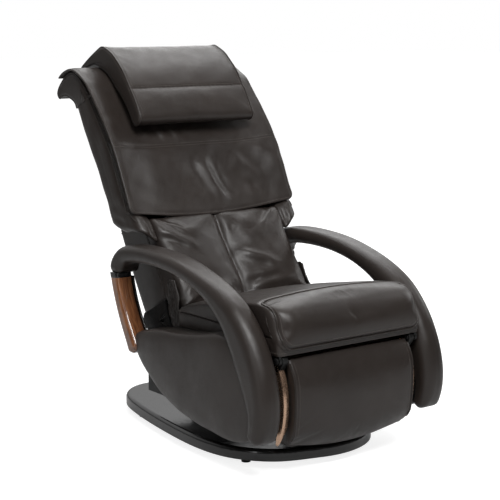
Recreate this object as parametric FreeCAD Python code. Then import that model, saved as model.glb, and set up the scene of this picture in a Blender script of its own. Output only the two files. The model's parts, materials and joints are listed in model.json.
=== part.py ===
import FreeCAD, Part
import math
import os

# Massage chair on a swivelling base. Lengths are in millimetres, +Z is up, the sitter faces -Y.
# The chair is drawn about its swivel axis, and save() then moves it by ROW_SHIFT_Y, so that the
# origin of the finished part lies on the floor below the middle of the whole chair.

os.makedirs("parts", exist_ok=True)

V = FreeCAD.Vector
ROW_SHIFT_Y = -58.0

# Clearances
SOFT_GAP = 0.3          # between a soft piece and a neighbour on another body
RUN_GAP = 0.06          # radial, between a pin and the bore that turns on it
HOLE_GAP = 0.6          # radial, between a bolt and its hole
SLOT_GAP = 1.0          # round a plate that passes through a wall

# Base
FOOT_H = 22.0
FOOT_R = 15.0
FOOT_PLACES = ((-170.0, -300.0), (170.0, -300.0), (-250.0, 235.0), (250.0, 235.0))
PLATE_T = 33.0
PLATE_EDGE_R = 12.0
BASE_TURN = -10.0       # degrees that the base is turned under the chair
BASE_OUTLINE = ((0, -424), (122, -405), (190, -360), (233, -304), (265, -213), (284, -60),
                (290, 100), (286, 240), (262, 345), (205, 405), (110, 424), (0, 428))

# Swivel
FLANGE_R = 100.0
FLANGE_T = 8.0
SPINDLE_R = 22.0
BASE_BOLT_PCD = 150.0
BASE_BOLT_R = 5.0
BASE_BOLT_DEPTH = 25.0
BOLT_HEAD_H = 6.0
BEARING_R = 50.0
BEARING_T = 6.0
HUB_R = 42.0
HUB_H = 35.0
HUB_FLANGE_R = 105.0
HUB_FLANGE_T = 8.0
NUT_R = 34.0
NUT_T = 12.0

# Seat and chassis
SEAT_WIDTH = 510.0
SEAT_GAP = 2.0          # between the seat and each side panel
PAN_Z = 365.5           # underside of the seat board
PAN_T = 12.0
APRON_T = 6.0
APRON_H = 42.5
APRON_INSET = 2.0
SEAT_FRONT_Y = -452.0
ROLL_LOW_Z = 346.0      # where the seat's front roll ends, in front of the apron
SEAT_REAR_Y = 18.0
HUB_PLATE_T = 6.0
HUB_PLATE_L = 230.0
RAIL_W = 30.0
RAIL_H = 40.0
RAIL_WALL = 2.5
RAIL_Y = (-258.0, 195.0)
UPRIGHT_D = 26.0
KICK_T = 3.0
SEAT_TUBE_Y = 0.0
TUBE_R = 12.0
TUBE_WALL = 2.0

# Sides
ARM_WIDTH = 80.0
PANEL_BULGE = 6.0
LINER_T = 5.0
COVER_WALL = 16.0
SIDE_PLATE_T = 4.0
WOOD_W = 50.0
WOOD_OUT_GAP = 4.0      # from the arm's outer face to the wood's

# Recline
LEAN = 30.0             # of the back from upright, at rest
PIVOT_Y = 100.0
PIVOT_Z = 320.0
PIVOT_PIN_R = 12.0
BRACKET_T = 8.0
BRACKET_EYE_R = 28.0
CRANK_R = 90.0          # from the recline axis to the actuator's pin
RECLINE = 50.0          # degrees
ROD_PIN_R = 5.0
ROD_EYE_R = 10.0
ROD_R = 9.0
ACTUATOR_R = 22.0
ACTUATOR_L = 150.0

# Back, upright before it leans: x across, depth backwards from the recline axis, height above it
WAIST_INSET = 20.0      # of the waist from the seat's side
WAIST_BOTTOM = 68.0
WAIST_TOP = 345.0
WAIST_REAR = 103.0
WAIST_FRONT = -46.0     # where the cushion lies on the shell
SHELL_T = 5.0
BACK_OVERHANG = 42.0    # of the upper back past the seat's side
WING_W = 60.0
WING_BOTTOM = 296.0
WING_RISE = 44.0        # of the wing's lower end from its front to its rear
BACK_TOP = 728.0        # where the wings end and the head roll starts
BACK_REAR = 30.0
LINER_FRONT = -66.0
CLOTH_T = 4.0
SIDE_TUBE = 25.0
SIDE_TUBE_FRONT = 2.0
BOTTOM_BAR_S = 100.0
HINGE_PLATE_T = 8.0
HINGE_PLATE_W = 50.0
HINGE_PLATE_TOP = 150.0
PAD_OVERHANG = 2.0
PAD_BOTTOM = 315.0
PILLOW_WIDTH = 428.0
CLIP_DEPTH = (36.0, 53.0)
CLIP_HEIGHT = (12.0, 34.0)      # above the top of the wings

# Massage drive
GUIDE_X = 100.0
GUIDE_W = 18.0
GUIDE_D = 20.0
GUIDE_WALL = 3.0
CARRIAGE_S = 200.0
CARRIAGE_H = 90.0
CARRIAGE_T = 5.0
GLIDE_H = 22.0
SHAFT_R = 6.0
SHAFT_DEPTH = -12.0
ROLLER_R = 15.0
ROLLER_W = 16.0
ROLLER_X = 52.0
ROLLER_REACH = 12.0
ROLLER_SPREAD = 26.0
ARM_T = 6.0

# Leg rest
POD_INSET = 42.0        # of the pod from the seat's side
POD_GAP = 4.0
ARC_T = 20.0
ARC_R = 240.0
ARC_W = 30.0
ARC_CENTRE = (-214.0, 195.0)
ARC_ENDS = (151.0, 206.5)
LEG_PIVOT = (-438.0, 322.0)
LEG_PIN_R = 6.0
LEG_LUG_R = 12.0
LEG_BRACKET_T = 8.0
POD_PIVOT = (-398.0, 195.0)
STUB_R = 8.0
STUB_LUG_R = 22.0
POD_SPLIT_Y = -438.0    # between the pod's shell and its front pad
POD_SIDE_Z = 96.0
POD_SAG = 26.0
POD_TOP_Z = 316.0
CHANNEL_R = 52.0
CHANNEL_X = 104.0
CHANNEL_Y = -330.0
CHANNEL_PAD_T = 6.0

# Power
BOX_W = 200.0
BOX_Y = (40.0, 170.0)
BOX_H = 75.0
BOX_T = 3.0
SWITCH_X = -55.0
SWITCH_W = 14.0
SWITCH_DEPTH = 6.0      # of the rocker's axis inside the box's rear wall
INLET_X = 40.0

# Places that follow from the sizes above
PLATE_TOP = FOOT_H + PLATE_T
FLANGE_TOP = PLATE_TOP + FLANGE_T
HUB_BOTTOM = FLANGE_TOP + BEARING_T + SOFT_GAP
HUB_TOP = HUB_BOTTOM + HUB_H
RAIL_Z = HUB_TOP + HUB_PLATE_T
RAIL_TOP = RAIL_Z + RAIL_H
SEAT_HALF = SEAT_WIDTH / 2
ARM_IN = SEAT_HALF + SEAT_GAP
ARM_OUT = ARM_IN + ARM_WIDTH
ARM_MID = (ARM_IN + ARM_OUT) / 2
WAIST_HALF = SEAT_HALF - WAIST_INSET
RAIL_OUT = WAIST_HALF + 2.0
BRACKET_OUT = RAIL_OUT + BRACKET_T
BACK_HALF = SEAT_HALF + BACK_OVERHANG
WING_IN = BACK_HALF - WING_W
HINGE_OUT = WAIST_HALF - SHELL_T
HINGE_IN = HINGE_OUT - HINGE_PLATE_T
SIDE_TUBE_IN = HINGE_IN - SIDE_TUBE
POD_HALF = SEAT_HALF - POD_INSET
ARC_IN = POD_HALF + POD_GAP
ARC_OUT = ARC_IN + ARC_T
APRON_OUT = SEAT_HALF - APRON_INSET
APRON_IN = APRON_OUT - APRON_T
PAN_TOP = PAN_Z + PAN_T
APRON_Z = PAN_TOP - APRON_H
ROD_Z = PIVOT_Z - CRANK_R * (1 + math.cos(math.radians(RECLINE / 2))) / 2
CRANK_Y = PIVOT_Y + CRANK_R * math.sin(math.radians(RECLINE / 2))
CRANK_Z = PIVOT_Z - CRANK_R * math.cos(math.radians(RECLINE / 2))


def box(x, y, z):
    return Part.makeBox(x[1] - x[0], y[1] - y[0], z[1] - z[0], V(x[0], y[0], z[0]))


def rod(start, end, radius):
    along = V(*end) - V(*start)
    return Part.makeCylinder(radius, along.Length, V(*start), along)


def pipe(start, end, radius, wall):
    return rod(start, end, radius).cut(rod(start, end, radius - wall))


def mirrored(shape):
    return shape.mirror(V(0, 0, 0), V(1, 0, 0))


def save(name, *shapes):
    """Writes one sub-part. Several shapes become separate solids of one file."""
    moved = [shape.translated(V(0, ROW_SHIFT_Y, 0)) for shape in shapes]
    whole = moved[0] if len(moved) == 1 else Part.makeCompound(moved)
    whole.exportStep("parts/%s.step" % name)


def save_both(name, *shapes):
    """Writes the pieces on the +X side and their mirror images as separate solids of one file."""
    save(name, *shapes, *[mirrored(shape) for shape in shapes])


def save_pair(name, *shapes):
    """Writes the piece on the +X side, the sitter's left, and its mirror image."""
    save(name + "_left", *shapes)
    save(name + "_right", *[mirrored(shape) for shape in shapes])


def side_plate(outline, x):
    """A straight-edged outline of (y, z) points, between two x."""
    points = [V(x[0], y, z) for y, z in outline]
    return Part.Face(Part.makePolygon(points + points[:1])).extrude(V(x[1] - x[0], 0, 0))


def smooth_wire(points):
    """A closed smooth curve through points in one plane."""
    curve = Part.BSplineCurve()
    curve.interpolate(points, PeriodicFlag=True)
    return Part.Wire(curve.toShape())


def arc_wire(points):
    """A closed chain of arcs, each through three points; every second point is a joint."""
    edges = []
    for i in range(0, len(points), 2):
        a, b, c = points[i], points[i + 1], points[(i + 2) % len(points)]
        straight = (b - a).cross(c - b).Length < 0.001 * (c - a).Length
        edges.append((Part.LineSegment(a, c) if straight else Part.Arc(a, b, c)).toShape())
    return Part.Wire(edges)


def rounded_wire(centre, across, up, half_w, half_h, radius):
    """A rectangle with rounded corners, in the plane of the unit vectors across and up."""
    def at(u, v):
        return centre + across * u + up * v

    flat_w, flat_h = half_w - radius, half_h - radius
    mid = radius * math.sqrt(0.5)
    edges = []
    for su, sv in ((1, 1), (-1, 1), (-1, -1), (1, -1)):
        first = (su * half_w, sv * flat_h)
        last = (su * flat_w, sv * half_h)
        if su * sv < 0:
            first, last = last, first
        middle = (su * (flat_w + mid), sv * (flat_h + mid))
        edges.append((first, middle, last))
    shapes = []
    for i, (first, middle, last) in enumerate(edges):
        following = edges[(i + 1) % 4][0]
        shapes.append(Part.Arc(at(*first), at(*middle), at(*last)).toShape())
        shapes.append(Part.LineSegment(at(*last), at(*following)).toShape())
    return Part.Wire(shapes)


def loft(wires, ruled=True):
    solid = Part.makeLoft(wires, True, ruled)
    return solid if solid.Volume > 0 else solid.reversed()


def swelling(half, round_r, crown, seam=0.0):
    """Places across a cushion: x, how far its outline is drawn in there, and how far it swells."""
    rows = [(0.0, seam, crown)]
    for share, turn in ((0.08, 0), (0.35, 0), (0.7, 0), (1, 0), (1, 0.5), (1, 0.87), (1, 1)):
        x = (half - round_r) * share + round_r * turn
        rows.append((x, round_r * (1 - math.sqrt(1 - turn * turn)), crown * (1 - (x / half) ** 2)))
    return [(-x, pull, swell) for x, pull, swell in rows[:0:-1]] + rows


def leaned(shape):
    """Moves a piece of the back from its upright drawing to its place on the recline axis."""
    tilted = shape.copy()
    tilted.rotate(V(0, 0, 0), V(1, 0, 0), -LEAN)
    return tilted.translated(V(0, PIVOT_Y, PIVOT_Z))


def turned_base(shape):
    turned = shape.copy()
    turned.rotate(V(0, 0, 0), V(0, 0, 1), BASE_TURN)
    return turned


# Base

def base_bolt_places():
    angles = [math.radians(45 + 90 * i) for i in range(4)]
    return [(BASE_BOLT_PCD / 2 * math.cos(a), BASE_BOLT_PCD / 2 * math.sin(a)) for a in angles]


def base_plate():
    left = [(-x, y) for x, y in BASE_OUTLINE[1:-1]]
    outline = list(BASE_OUTLINE) + left[::-1]
    wire = smooth_wire([V(x, y, FOOT_H) for x, y in outline])
    plate = Part.Face(wire).extrude(V(0, 0, PLATE_T))
    rims = [edge for edge in plate.Edges if abs(edge.BoundBox.ZMin - PLATE_TOP) < 0.01
            and abs(edge.BoundBox.ZMax - PLATE_TOP) < 0.01]
    plate = plate.makeFillet(PLATE_EDGE_R, rims)
    for x, y in base_bolt_places():
        plate = plate.cut(rod((x, y, PLATE_TOP - BASE_BOLT_DEPTH), (x, y, PLATE_TOP), BASE_BOLT_R))
    save("base_plate", turned_base(plate))


def base_feet():
    feet = []
    for x, y in FOOT_PLACES:
        foot = Part.makeCone(FOOT_R - 2, FOOT_R, FOOT_H, V(x, y, 0))
        feet.append(turned_base(foot))
    save("base_feet", *feet)


def swivel_parts():
    flange = rod((0, 0, PLATE_TOP), (0, 0, FLANGE_TOP), FLANGE_R)
    spindle = flange.fuse(rod((0, 0, FLANGE_TOP), (0, 0, HUB_TOP + SOFT_GAP + NUT_T), SPINDLE_R))
    bolts = []
    for x, y in base_bolt_places():
        spindle = spindle.cut(rod((x, y, PLATE_TOP), (x, y, FLANGE_TOP), BASE_BOLT_R + HOLE_GAP))
        shank = rod((x, y, PLATE_TOP - BASE_BOLT_DEPTH), (x, y, FLANGE_TOP), BASE_BOLT_R)
        head = rod((x, y, FLANGE_TOP), (x, y, FLANGE_TOP + BOLT_HEAD_H), BASE_BOLT_R * 1.8)
        bolts.append(turned_base(shank.fuse(head).removeSplitter()))
    save("swivel_spindle", turned_base(spindle.removeSplitter()))
    save("base_bolts", *bolts)
    save("thrust_bearing", pipe((0, 0, FLANGE_TOP), (0, 0, FLANGE_TOP + BEARING_T), BEARING_R,
                                BEARING_R - SPINDLE_R))
    nut_z = HUB_TOP + SOFT_GAP
    save("spindle_nut", pipe((0, 0, nut_z), (0, 0, nut_z + NUT_T), NUT_R, NUT_R - SPINDLE_R))


# Chassis

def swivel_hub():
    hub = rod((0, 0, HUB_BOTTOM), (0, 0, HUB_TOP), HUB_R)
    hub = hub.fuse(rod((0, 0, HUB_TOP - HUB_FLANGE_T), (0, 0, HUB_TOP), HUB_FLANGE_R))
    bore = rod((0, 0, HUB_BOTTOM), (0, 0, HUB_TOP), SPINDLE_R + RUN_GAP)
    save("swivel_hub", hub.cut(bore).removeSplitter())


def hub_plate():
    half = HUB_PLATE_L / 2
    plate = box((-RAIL_OUT, RAIL_OUT), (-half, half), (HUB_TOP, RAIL_Z))
    save("hub_plate", plate.cut(rod((0, 0, HUB_TOP), (0, 0, RAIL_Z), HUB_R)))


def frame_rails():
    outer = box((RAIL_OUT - RAIL_W, RAIL_OUT), RAIL_Y, (RAIL_Z, RAIL_TOP))
    inner = box((RAIL_OUT - RAIL_W + RAIL_WALL, RAIL_OUT - RAIL_WALL), RAIL_Y,
                (RAIL_Z + RAIL_WALL, RAIL_TOP - RAIL_WALL))
    save_both("frame_rails", outer.cut(inner))


def front_frame():
    x = (RAIL_OUT - RAIL_W, RAIL_OUT)
    y = (RAIL_Y[0], RAIL_Y[0] + UPRIGHT_D)
    wall = RAIL_WALL
    outer = box(x, y, (RAIL_TOP, PAN_Z))
    inner = box((x[0] + wall, x[1] - wall), (y[0] + wall, y[1] - wall), (RAIL_TOP, PAN_Z))
    save_both("front_uprights", outer.cut(inner))
    mid_y = (y[0] + y[1]) / 2
    front = pipe((-x[0], mid_y, ROD_Z), (x[0], mid_y, ROD_Z), TUBE_R, TUBE_WALL)
    z = PAN_Z - TUBE_R
    rear = pipe((-RAIL_OUT, SEAT_TUBE_Y, z), (RAIL_OUT, SEAT_TUBE_Y, z), TUBE_R, TUBE_WALL)
    save("cross_tubes", front, rear)
    panel = box((-RAIL_OUT, RAIL_OUT), (RAIL_Y[0] - KICK_T, RAIL_Y[0]), (RAIL_Z, APRON_Z))
    save("kick_panel", panel)


def pivot_bracket_outline():
    """Rises from the rail to the recline pin, passes below the apron's wall and carries the seat board."""
    top = PIVOT_Z + BRACKET_EYE_R
    under_apron = APRON_Z - 3
    seat_rear = SEAT_REAR_Y - APRON_T - 1
    return ((20, RAIL_Z), (185, RAIL_Z), (185, RAIL_TOP + 10), (PIVOT_Y + BRACKET_EYE_R, PIVOT_Z - 20),
            (PIVOT_Y + BRACKET_EYE_R, top), (PIVOT_Y - BRACKET_EYE_R, top), (60, under_apron),
            (seat_rear, under_apron), (seat_rear, PAN_Z), (-14, PAN_Z), (-14, 300), (55, 250))


def pivot_brackets():
    plate = side_plate(pivot_bracket_outline(), (RAIL_OUT, BRACKET_OUT))
    hole = rod((RAIL_OUT, PIVOT_Y, PIVOT_Z), (BRACKET_OUT, PIVOT_Y, PIVOT_Z), PIVOT_PIN_R)
    save_both("pivot_brackets", plate.cut(hole))
    head = rod((BRACKET_OUT, PIVOT_Y, PIVOT_Z), (BRACKET_OUT + 4, PIVOT_Y, PIVOT_Z), PIVOT_PIN_R * 1.4)
    pin = rod((HINGE_IN - 4, PIVOT_Y, PIVOT_Z), (BRACKET_OUT, PIVOT_Y, PIVOT_Z), PIVOT_PIN_R)
    save_both("recline_pins", pin.fuse(head).removeSplitter())


def stand_offs():
    front = rod((RAIL_OUT, -215, RAIL_Z + RAIL_H / 2), (ARM_IN, -215, RAIL_Z + RAIL_H / 2), 14)
    rear = rod((BRACKET_OUT, 62, 245), (ARM_IN, 62, 245), 14)
    save_both("side_stand_offs", front, rear)


def seat_base():
    board = box((-APRON_IN, APRON_IN), (SEAT_FRONT_Y + APRON_T, SEAT_REAR_Y - APRON_T), (PAN_Z, PAN_TOP))
    save("seat_board", board)
    outer = box((-APRON_OUT, APRON_OUT), (SEAT_FRONT_Y, SEAT_REAR_Y), (APRON_Z, PAN_TOP))
    corners = [edge for edge in outer.Edges if abs(edge.BoundBox.YMax - SEAT_FRONT_Y) < 0.01
               and edge.BoundBox.XLength < 0.01]
    outer = outer.makeFillet(5.0, corners)
    inner = box((-APRON_IN, APRON_IN), (SEAT_FRONT_Y + APRON_T, SEAT_REAR_Y - APRON_T), (APRON_Z, PAN_TOP))
    save("seat_apron", outer.cut(inner))


def seat_section(x, pull, crown):
    """The cushion's side profile at x, drawn in by pull and raised by crown."""
    rear = SEAT_REAR_Y - 16 - pull
    front = SEAT_FRONT_Y - SOFT_GAP
    roll = max(7.0, 15 - pull)
    nose = front - roll
    low = PAN_TOP + pull / 2
    top = PAN_TOP - pull + crown
    lip = ROLL_LOW_Z + pull * 0.5
    profile = ((rear, low), (rear + 4, (low + top + 34) / 2), (rear - 6, top + 34),
               (-150, top + 60), (-335, top + 80), (-396, top + 77), (nose + 32, top + 62),
               (nose + 7, top + 26), (nose, low - 6), (nose + roll * 0.1, lip + roll * 0.5),
               (nose + roll * 0.5, lip), (nose + roll * 0.85, lip + roll * 0.13),
               (front - 0.2, lip + roll * 0.5), (front - 0.1, (lip + roll * 0.5 + low) / 2), (front, low),
               (-200, low))
    return arc_wire([V(x, y, z) for y, z in profile])


def seat_cushion():
    save("seat_cushion", loft([seat_section(*row) for row in swelling(SEAT_HALF, 14.0, 12.0)]))


# Sides

ARM_STATIONS = (
    # y, z of the centre, direction of the band in degrees from +Y, thickness, corner radius
    (226, 470, 90, 50, 15), (218, 500, 115, 54, 20), (186, 526, 152, 52, 23), (118, 538, 178, 49, 22),
    (22, 539, 184, 46, 21), (-75, 530, 192, 46, 21), (-166, 509, 203, 50, 23), (-252, 475, 215, 66, 28),
    (-320, 430, 234, 88, 32), (-374, 366, 246, 104, 34), (-412, 298, 252, 106, 34),
    (-436, 238, 261, 96, 34), (-446, 188, 272, 80, 32), (-442, 146, 288, 66, 28), (-431, 114, 298, 48, 20))


def arm_section(y, z, angle, thickness, radius):
    turn = math.radians(angle)
    outward = V(0, math.sin(turn), -math.cos(turn))
    return rounded_wire(V(ARM_MID, y, z), V(1, 0, 0), outward, ARM_WIDTH / 2, thickness / 2, radius)


def arm_pad():
    return loft([arm_section(*station) for station in ARM_STATIONS])


WOOD_STATIONS = ((128, 252, 58, 44), (150, 290, 60, 41), (178, 338, 66, 39), (200, 386, 72, 38),
                 (216, 430, 79, 40), (226, 470, 88, 42))


def wood_accent():
    centre_x = ARM_OUT - WOOD_OUT_GAP - WOOD_W / 2
    wires = []
    for y, z, angle, thickness in WOOD_STATIONS:
        turn = math.radians(angle)
        outward = V(0, math.sin(turn), -math.cos(turn))
        wires.append(rounded_wire(V(centre_x, y, z), V(1, 0, 0), outward, WOOD_W / 2, thickness / 2, 12))
    return loft(wires)


PANEL_OUTLINE = ((145, 279), (114, 238), (62, 194), (-10, 150), (-110, 117), (-230, 101), (-350, 95),
                 (-425, 125), (-445, 200), (-422, 290), (-362, 360), (-280, 377), (-190, 360), (-90, 345),
                 (0, 338), (80, 324), (128, 305))
PANEL_CAVITY = ((100, 256), (40, 208), (-20, 172), (-90, 146), (-200, 126), (-350, 120), (-372, 200),
                (-345, 300), (-320, 350), (-200, 340), (-60, 318), (50, 304))
PANEL_MIDDLE = (-150, 240)
PANEL_DOME = ((-PANEL_BULGE, 0.22), (1 - PANEL_BULGE, 0.1), (2, 0.036), (9, 0.011), (20, 0))
SIDE_HOLES = ((-270, 175, 38), (-180, 240, 50), (-60, 235, 42))


def panel_wire(x, shrink):
    """The panel's outline at x, shrunk towards its middle by a share."""
    mid_y, mid_z = PANEL_MIDDLE
    return smooth_wire([V(x, y + (mid_y - y) * shrink, z + (mid_z - z) * shrink) for y, z in PANEL_OUTLINE])


def side_panels():
    arm = arm_pad()
    wood = wood_accent()
    straight = ARM_OUT - PANEL_DOME[-1][0]
    cover = Part.Face(panel_wire(ARM_IN + LINER_T, 0)).extrude(V(straight - ARM_IN - LINER_T, 0, 0))
    dome = loft([panel_wire(ARM_OUT - below, shrink) for below, shrink in PANEL_DOME])
    cover = cover.fuse(dome)
    cover = cover.cut(side_plate(PANEL_CAVITY, (ARM_IN + LINER_T, ARM_OUT - COVER_WALL)))
    cover = cover.cut(arm).cut(wood)
    liner = Part.Face(panel_wire(ARM_IN, 0)).extrude(V(LINER_T, 0, 0))
    liner = liner.cut(arm)
    plate = side_plate(PANEL_CAVITY, (ARM_IN + LINER_T, ARM_IN + LINER_T + SIDE_PLATE_T))
    for y, z, radius in SIDE_HOLES:
        plate = plate.cut(rod((ARM_IN, y, z), (ARM_OUT, y, z), radius))
    plate = plate.cut(arm).cut(wood)
    save_pair("arm_pad", arm)
    save_both("wood_accents", wood.cut(plate).cut(arm))
    save_pair("side_cover", cover)
    save_both("side_liners", liner)
    save_both("side_plates", plate)


# Back

def back_frame():
    tube_rear = SIDE_TUBE_FRONT + SIDE_TUBE
    depth = (SIDE_TUBE_FRONT, tube_rear)
    tube = box((SIDE_TUBE_IN, HINGE_IN), depth, (WAIST_BOTTOM + SHELL_T, BACK_TOP))
    core = box((SIDE_TUBE_IN + 2, HINGE_IN - 2), (depth[0] + 2, depth[1] - 2),
               (WAIST_BOTTOM + SHELL_T, BACK_TOP))
    save_both("back_side_tubes", leaned(tube.cut(core)))
    half_w = HINGE_PLATE_W / 2
    plate = box((HINGE_IN, HINGE_OUT), (-half_w, half_w), (0, HINGE_PLATE_TOP))
    plate = plate.fuse(rod((HINGE_IN, 0, 0), (HINGE_OUT, 0, 0), half_w))
    plate = plate.cut(rod((HINGE_IN, 0, 0), (HINGE_OUT, 0, 0), PIVOT_PIN_R + RUN_GAP))
    save_both("back_hinge_plates", leaned(plate.removeSplitter()))
    bars = []
    for low in (BOTTOM_BAR_S, BACK_TOP - SIDE_TUBE):
        bar = box((-SIDE_TUBE_IN, SIDE_TUBE_IN), depth, (low, low + SIDE_TUBE))
        hollow = box((-SIDE_TUBE_IN, SIDE_TUBE_IN), (depth[0] + 2, depth[1] - 2),
                     (low + 2, low + SIDE_TUBE - 2))
        bars.append(leaned(bar.cut(hollow)))
    save("back_cross_bars", *bars)


def crank_place():
    """The actuator's pin in the upright drawing of the back, as depth and height."""
    turn = math.radians(LEAN)
    dy, dz = CRANK_Y - PIVOT_Y, CRANK_Z - PIVOT_Z
    return (dy * math.cos(turn) - dz * math.sin(turn), dy * math.sin(turn) + dz * math.cos(turn))


def actuator_bracket_body():
    depth, height = crank_place()
    top = BOTTOM_BAR_S
    lug = ROD_EYE_R + 7
    outline = ((SIDE_TUBE_FRONT, top), (SIDE_TUBE_FRONT + SIDE_TUBE + 40, top),
               (depth + lug, height), (depth - lug, height))
    cheeks = []
    for x in ((-20, -12), (12, 20)):
        cheek = side_plate(outline, x).fuse(rod((x[0], depth, height), (x[1], depth, height), lug))
        cheeks.append(cheek.cut(rod((x[0], depth, height), (x[1], depth, height), ROD_EYE_R)))
    web = box((-20, 20), (SIDE_TUBE_FRONT, SIDE_TUBE_FRONT + SIDE_TUBE + 40), (top - 6, top))
    return cheeks[0].fuse(cheeks[1]).fuse(web).removeSplitter()


def actuator_bracket():
    save("actuator_bracket", leaned(actuator_bracket_body()))


def waist_shell():
    half = WAIST_HALF
    outer = box((-half, half), (WAIST_FRONT, WAIST_REAR), (WAIST_BOTTOM, WAIST_TOP))
    rear_edges = [edge for edge in outer.Edges if abs(edge.BoundBox.YMin - WAIST_REAR) < 0.01]
    outer = outer.makeFillet(24.0, rear_edges)
    inner = box((-half + SHELL_T, half - SHELL_T), (WAIST_FRONT, WAIST_REAR - SHELL_T),
                (WAIST_BOTTOM + SHELL_T, WAIST_TOP - SHELL_T))
    inner_edges = [edge for edge in inner.Edges if abs(edge.BoundBox.YMin - WAIST_REAR + SHELL_T) < 0.01]
    inner = inner.makeFillet(19.0, inner_edges)
    shell = outer.cut(inner)
    mouth = box((-half, half), (LINER_FRONT, BACK_REAR + 8), (WAIST_TOP - SHELL_T, WAIST_TOP))
    shell = shell.cut(mouth)
    for side in (1, -1):
        xs = sorted((side * (HINGE_IN - SLOT_GAP), side * (HINGE_OUT)))
        slot = box(xs, (-HINGE_PLATE_W / 2 - SLOT_GAP, HINGE_PLATE_W / 2 + SLOT_GAP),
                   (WAIST_BOTTOM, WAIST_BOTTOM + SHELL_T))
        shell = shell.cut(slot)
    window = box((-20 - SLOT_GAP, 20 + SLOT_GAP), (SIDE_TUBE_FRONT - SLOT_GAP, WAIST_REAR - 20),
                 (WAIST_BOTTOM, WAIST_BOTTOM + SHELL_T))
    save("waist_shell", leaned(shell.cut(window)))


def waist_section(x, pull, crown):
    back = WAIST_FRONT - SOFT_GAP
    deep = 62 + crown - pull
    profile = ((back, 32 + pull), (back - deep * 0.5, 22 + pull), (back - deep - 6, 45 + pull),
               (back - deep - 12, 100), (back - deep, 170), (back - deep + 4, 240),
               (back - deep + 12, 292), (back - deep + 21, 304), (back - 24, 310),
               (back - 12, 311), (back, 311), (back, 200))
    return arc_wire([V(x, depth, height) for depth, height in profile])


def waist_cushion():
    rows = swelling(WAIST_HALF, 20.0, 6.0, 4.0)
    save("waist_cushion", leaned(loft([waist_section(*row) for row in rows])))


WING_FRONT = ((-66, WING_BOTTOM), (-67, 435), (-73, BACK_TOP - 184), (-64, BACK_TOP - 117),
              (-56, BACK_TOP - 60), (-47.5, BACK_TOP))
WING_REAR = ((36, BACK_TOP), (38, BACK_TOP - 88), (31, BACK_TOP - 188), (30, 440), (30, 390),
             (28, WING_BOTTOM + WING_RISE))


def wing():
    """Side bolster of the upper back: front and rear curve, straight ends, rounded outer edges."""
    x = WING_IN
    front = Part.BSplineCurve()
    front.interpolate([V(x, depth, height) for depth, height in WING_FRONT])
    rear = Part.BSplineCurve()
    rear.interpolate([V(x, depth, height) for depth, height in WING_REAR])
    top = Part.LineSegment(V(x, *WING_FRONT[-1]), V(x, *WING_REAR[0]))
    bottom = Part.LineSegment(V(x, *WING_REAR[-1]), V(x, *WING_FRONT[0]))
    wire = Part.Wire([front.toShape(), top.toShape(), rear.toShape(), bottom.toShape()])
    body = Part.Face(wire).extrude(V(WING_W, 0, 0))
    rims = [edge for edge in body.Edges if edge.BoundBox.XMin > BACK_HALF - 0.01
            and edge.BoundBox.ZLength > 100]
    rims += [edge for edge in body.Edges if edge.BoundBox.XMin > BACK_HALF - 0.01
             and edge.BoundBox.ZMax < WING_BOTTOM + WING_RISE + 1]
    return body.makeFillet(20.0, rims)


# Depth and height above the top of the wings
HEAD_ROLL = ((-47.5, 0), (-42, 34), (-30, 69), (-12, 98), (10, 112), (40, 118), (68, 116), (96, 108),
             (114, 92), (110, 75), (92, 73), (70, 64), (54, 48), (42, 28), (36, 0), (-5, 0))


def head_roll():
    wires = []
    for x, pull in ((-BACK_HALF, 8), (-BACK_HALF + 6, 2.5), (-BACK_HALF + 22, 0), (BACK_HALF - 22, 0),
                    (BACK_HALF - 6, 2.5), (BACK_HALF, 8)):
        points = []
        for depth, height in HEAD_ROLL:
            lift = min(1.0, height / 60.0)
            outward = V(0, depth - 20, height - 72)
            points.append(V(x, depth, BACK_TOP + height) - outward * (pull * lift / outward.Length))
        wires.append(arc_wire(points))
    return loft(wires)


def upper_back():
    save_pair("back_wing", leaned(wing()))
    roll = head_roll()
    save("head_roll", leaned(roll))
    clip_z = [BACK_TOP + height for height in CLIP_HEIGHT]
    clip = mirrored(box((BACK_HALF - 40, BACK_HALF - 15), CLIP_DEPTH, clip_z))
    save("back_clip", leaned(clip.cut(roll)))
    cover = box((-WING_IN, WING_IN), (BACK_REAR - 2, BACK_REAR + 5), (WAIST_TOP + 1, BACK_TOP))
    save("back_rear_cover", leaned(cover))
    bend = BACK_TOP - 118
    outline = ((LINER_FRONT, WAIST_TOP), (LINER_FRONT, bend), (LINER_FRONT + 18, BACK_TOP),
               (LINER_FRONT + CLOTH_T + 18, BACK_TOP), (LINER_FRONT + CLOTH_T, bend),
               (LINER_FRONT + CLOTH_T, WAIST_TOP))
    save("back_liner", leaned(side_plate(outline, (-WING_IN, WING_IN))))


PAD_LINE = ((PAD_BOTTOM, -72), (380, -70), (450, -71), (BACK_TOP - 198, -74), (BACK_TOP - 128, -68),
            (BACK_TOP - 68, -60), (BACK_TOP - 18, -52), (BACK_TOP + 32, -45), (BACK_TOP + 72, -33),
            (BACK_TOP + 106, -10), (BACK_TOP + 120, 14), (BACK_TOP + 124, 42))
PAD_TOPS = (26, 36, 40, 38, 37, 34, 30, 24, 18, 14, 11, 9)


def pad_section(x, pull):
    """Across the pad at x: rear line along the back, front line a thickness further out."""
    rear = []
    front = []
    for i, (height, depth) in enumerate(PAD_LINE):
        after = PAD_LINE[min(i + 1, len(PAD_LINE) - 1)]
        before = PAD_LINE[max(i - 1, 0)]
        along = V(0, after[1] - before[1], after[0] - before[0])
        along.normalize()
        out = V(0, -along.z, along.y)
        base = V(x, depth, height) + out * SOFT_GAP
        rear.append(base)
        front.append(base + out * max(3.0, PAD_TOPS[i] - pull))
    loop = rear + front[::-1]
    edges = [Part.LineSegment(loop[i], loop[(i + 1) % len(loop)]).toShape() for i in range(len(loop))]
    return Part.Wire(edges)


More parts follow.
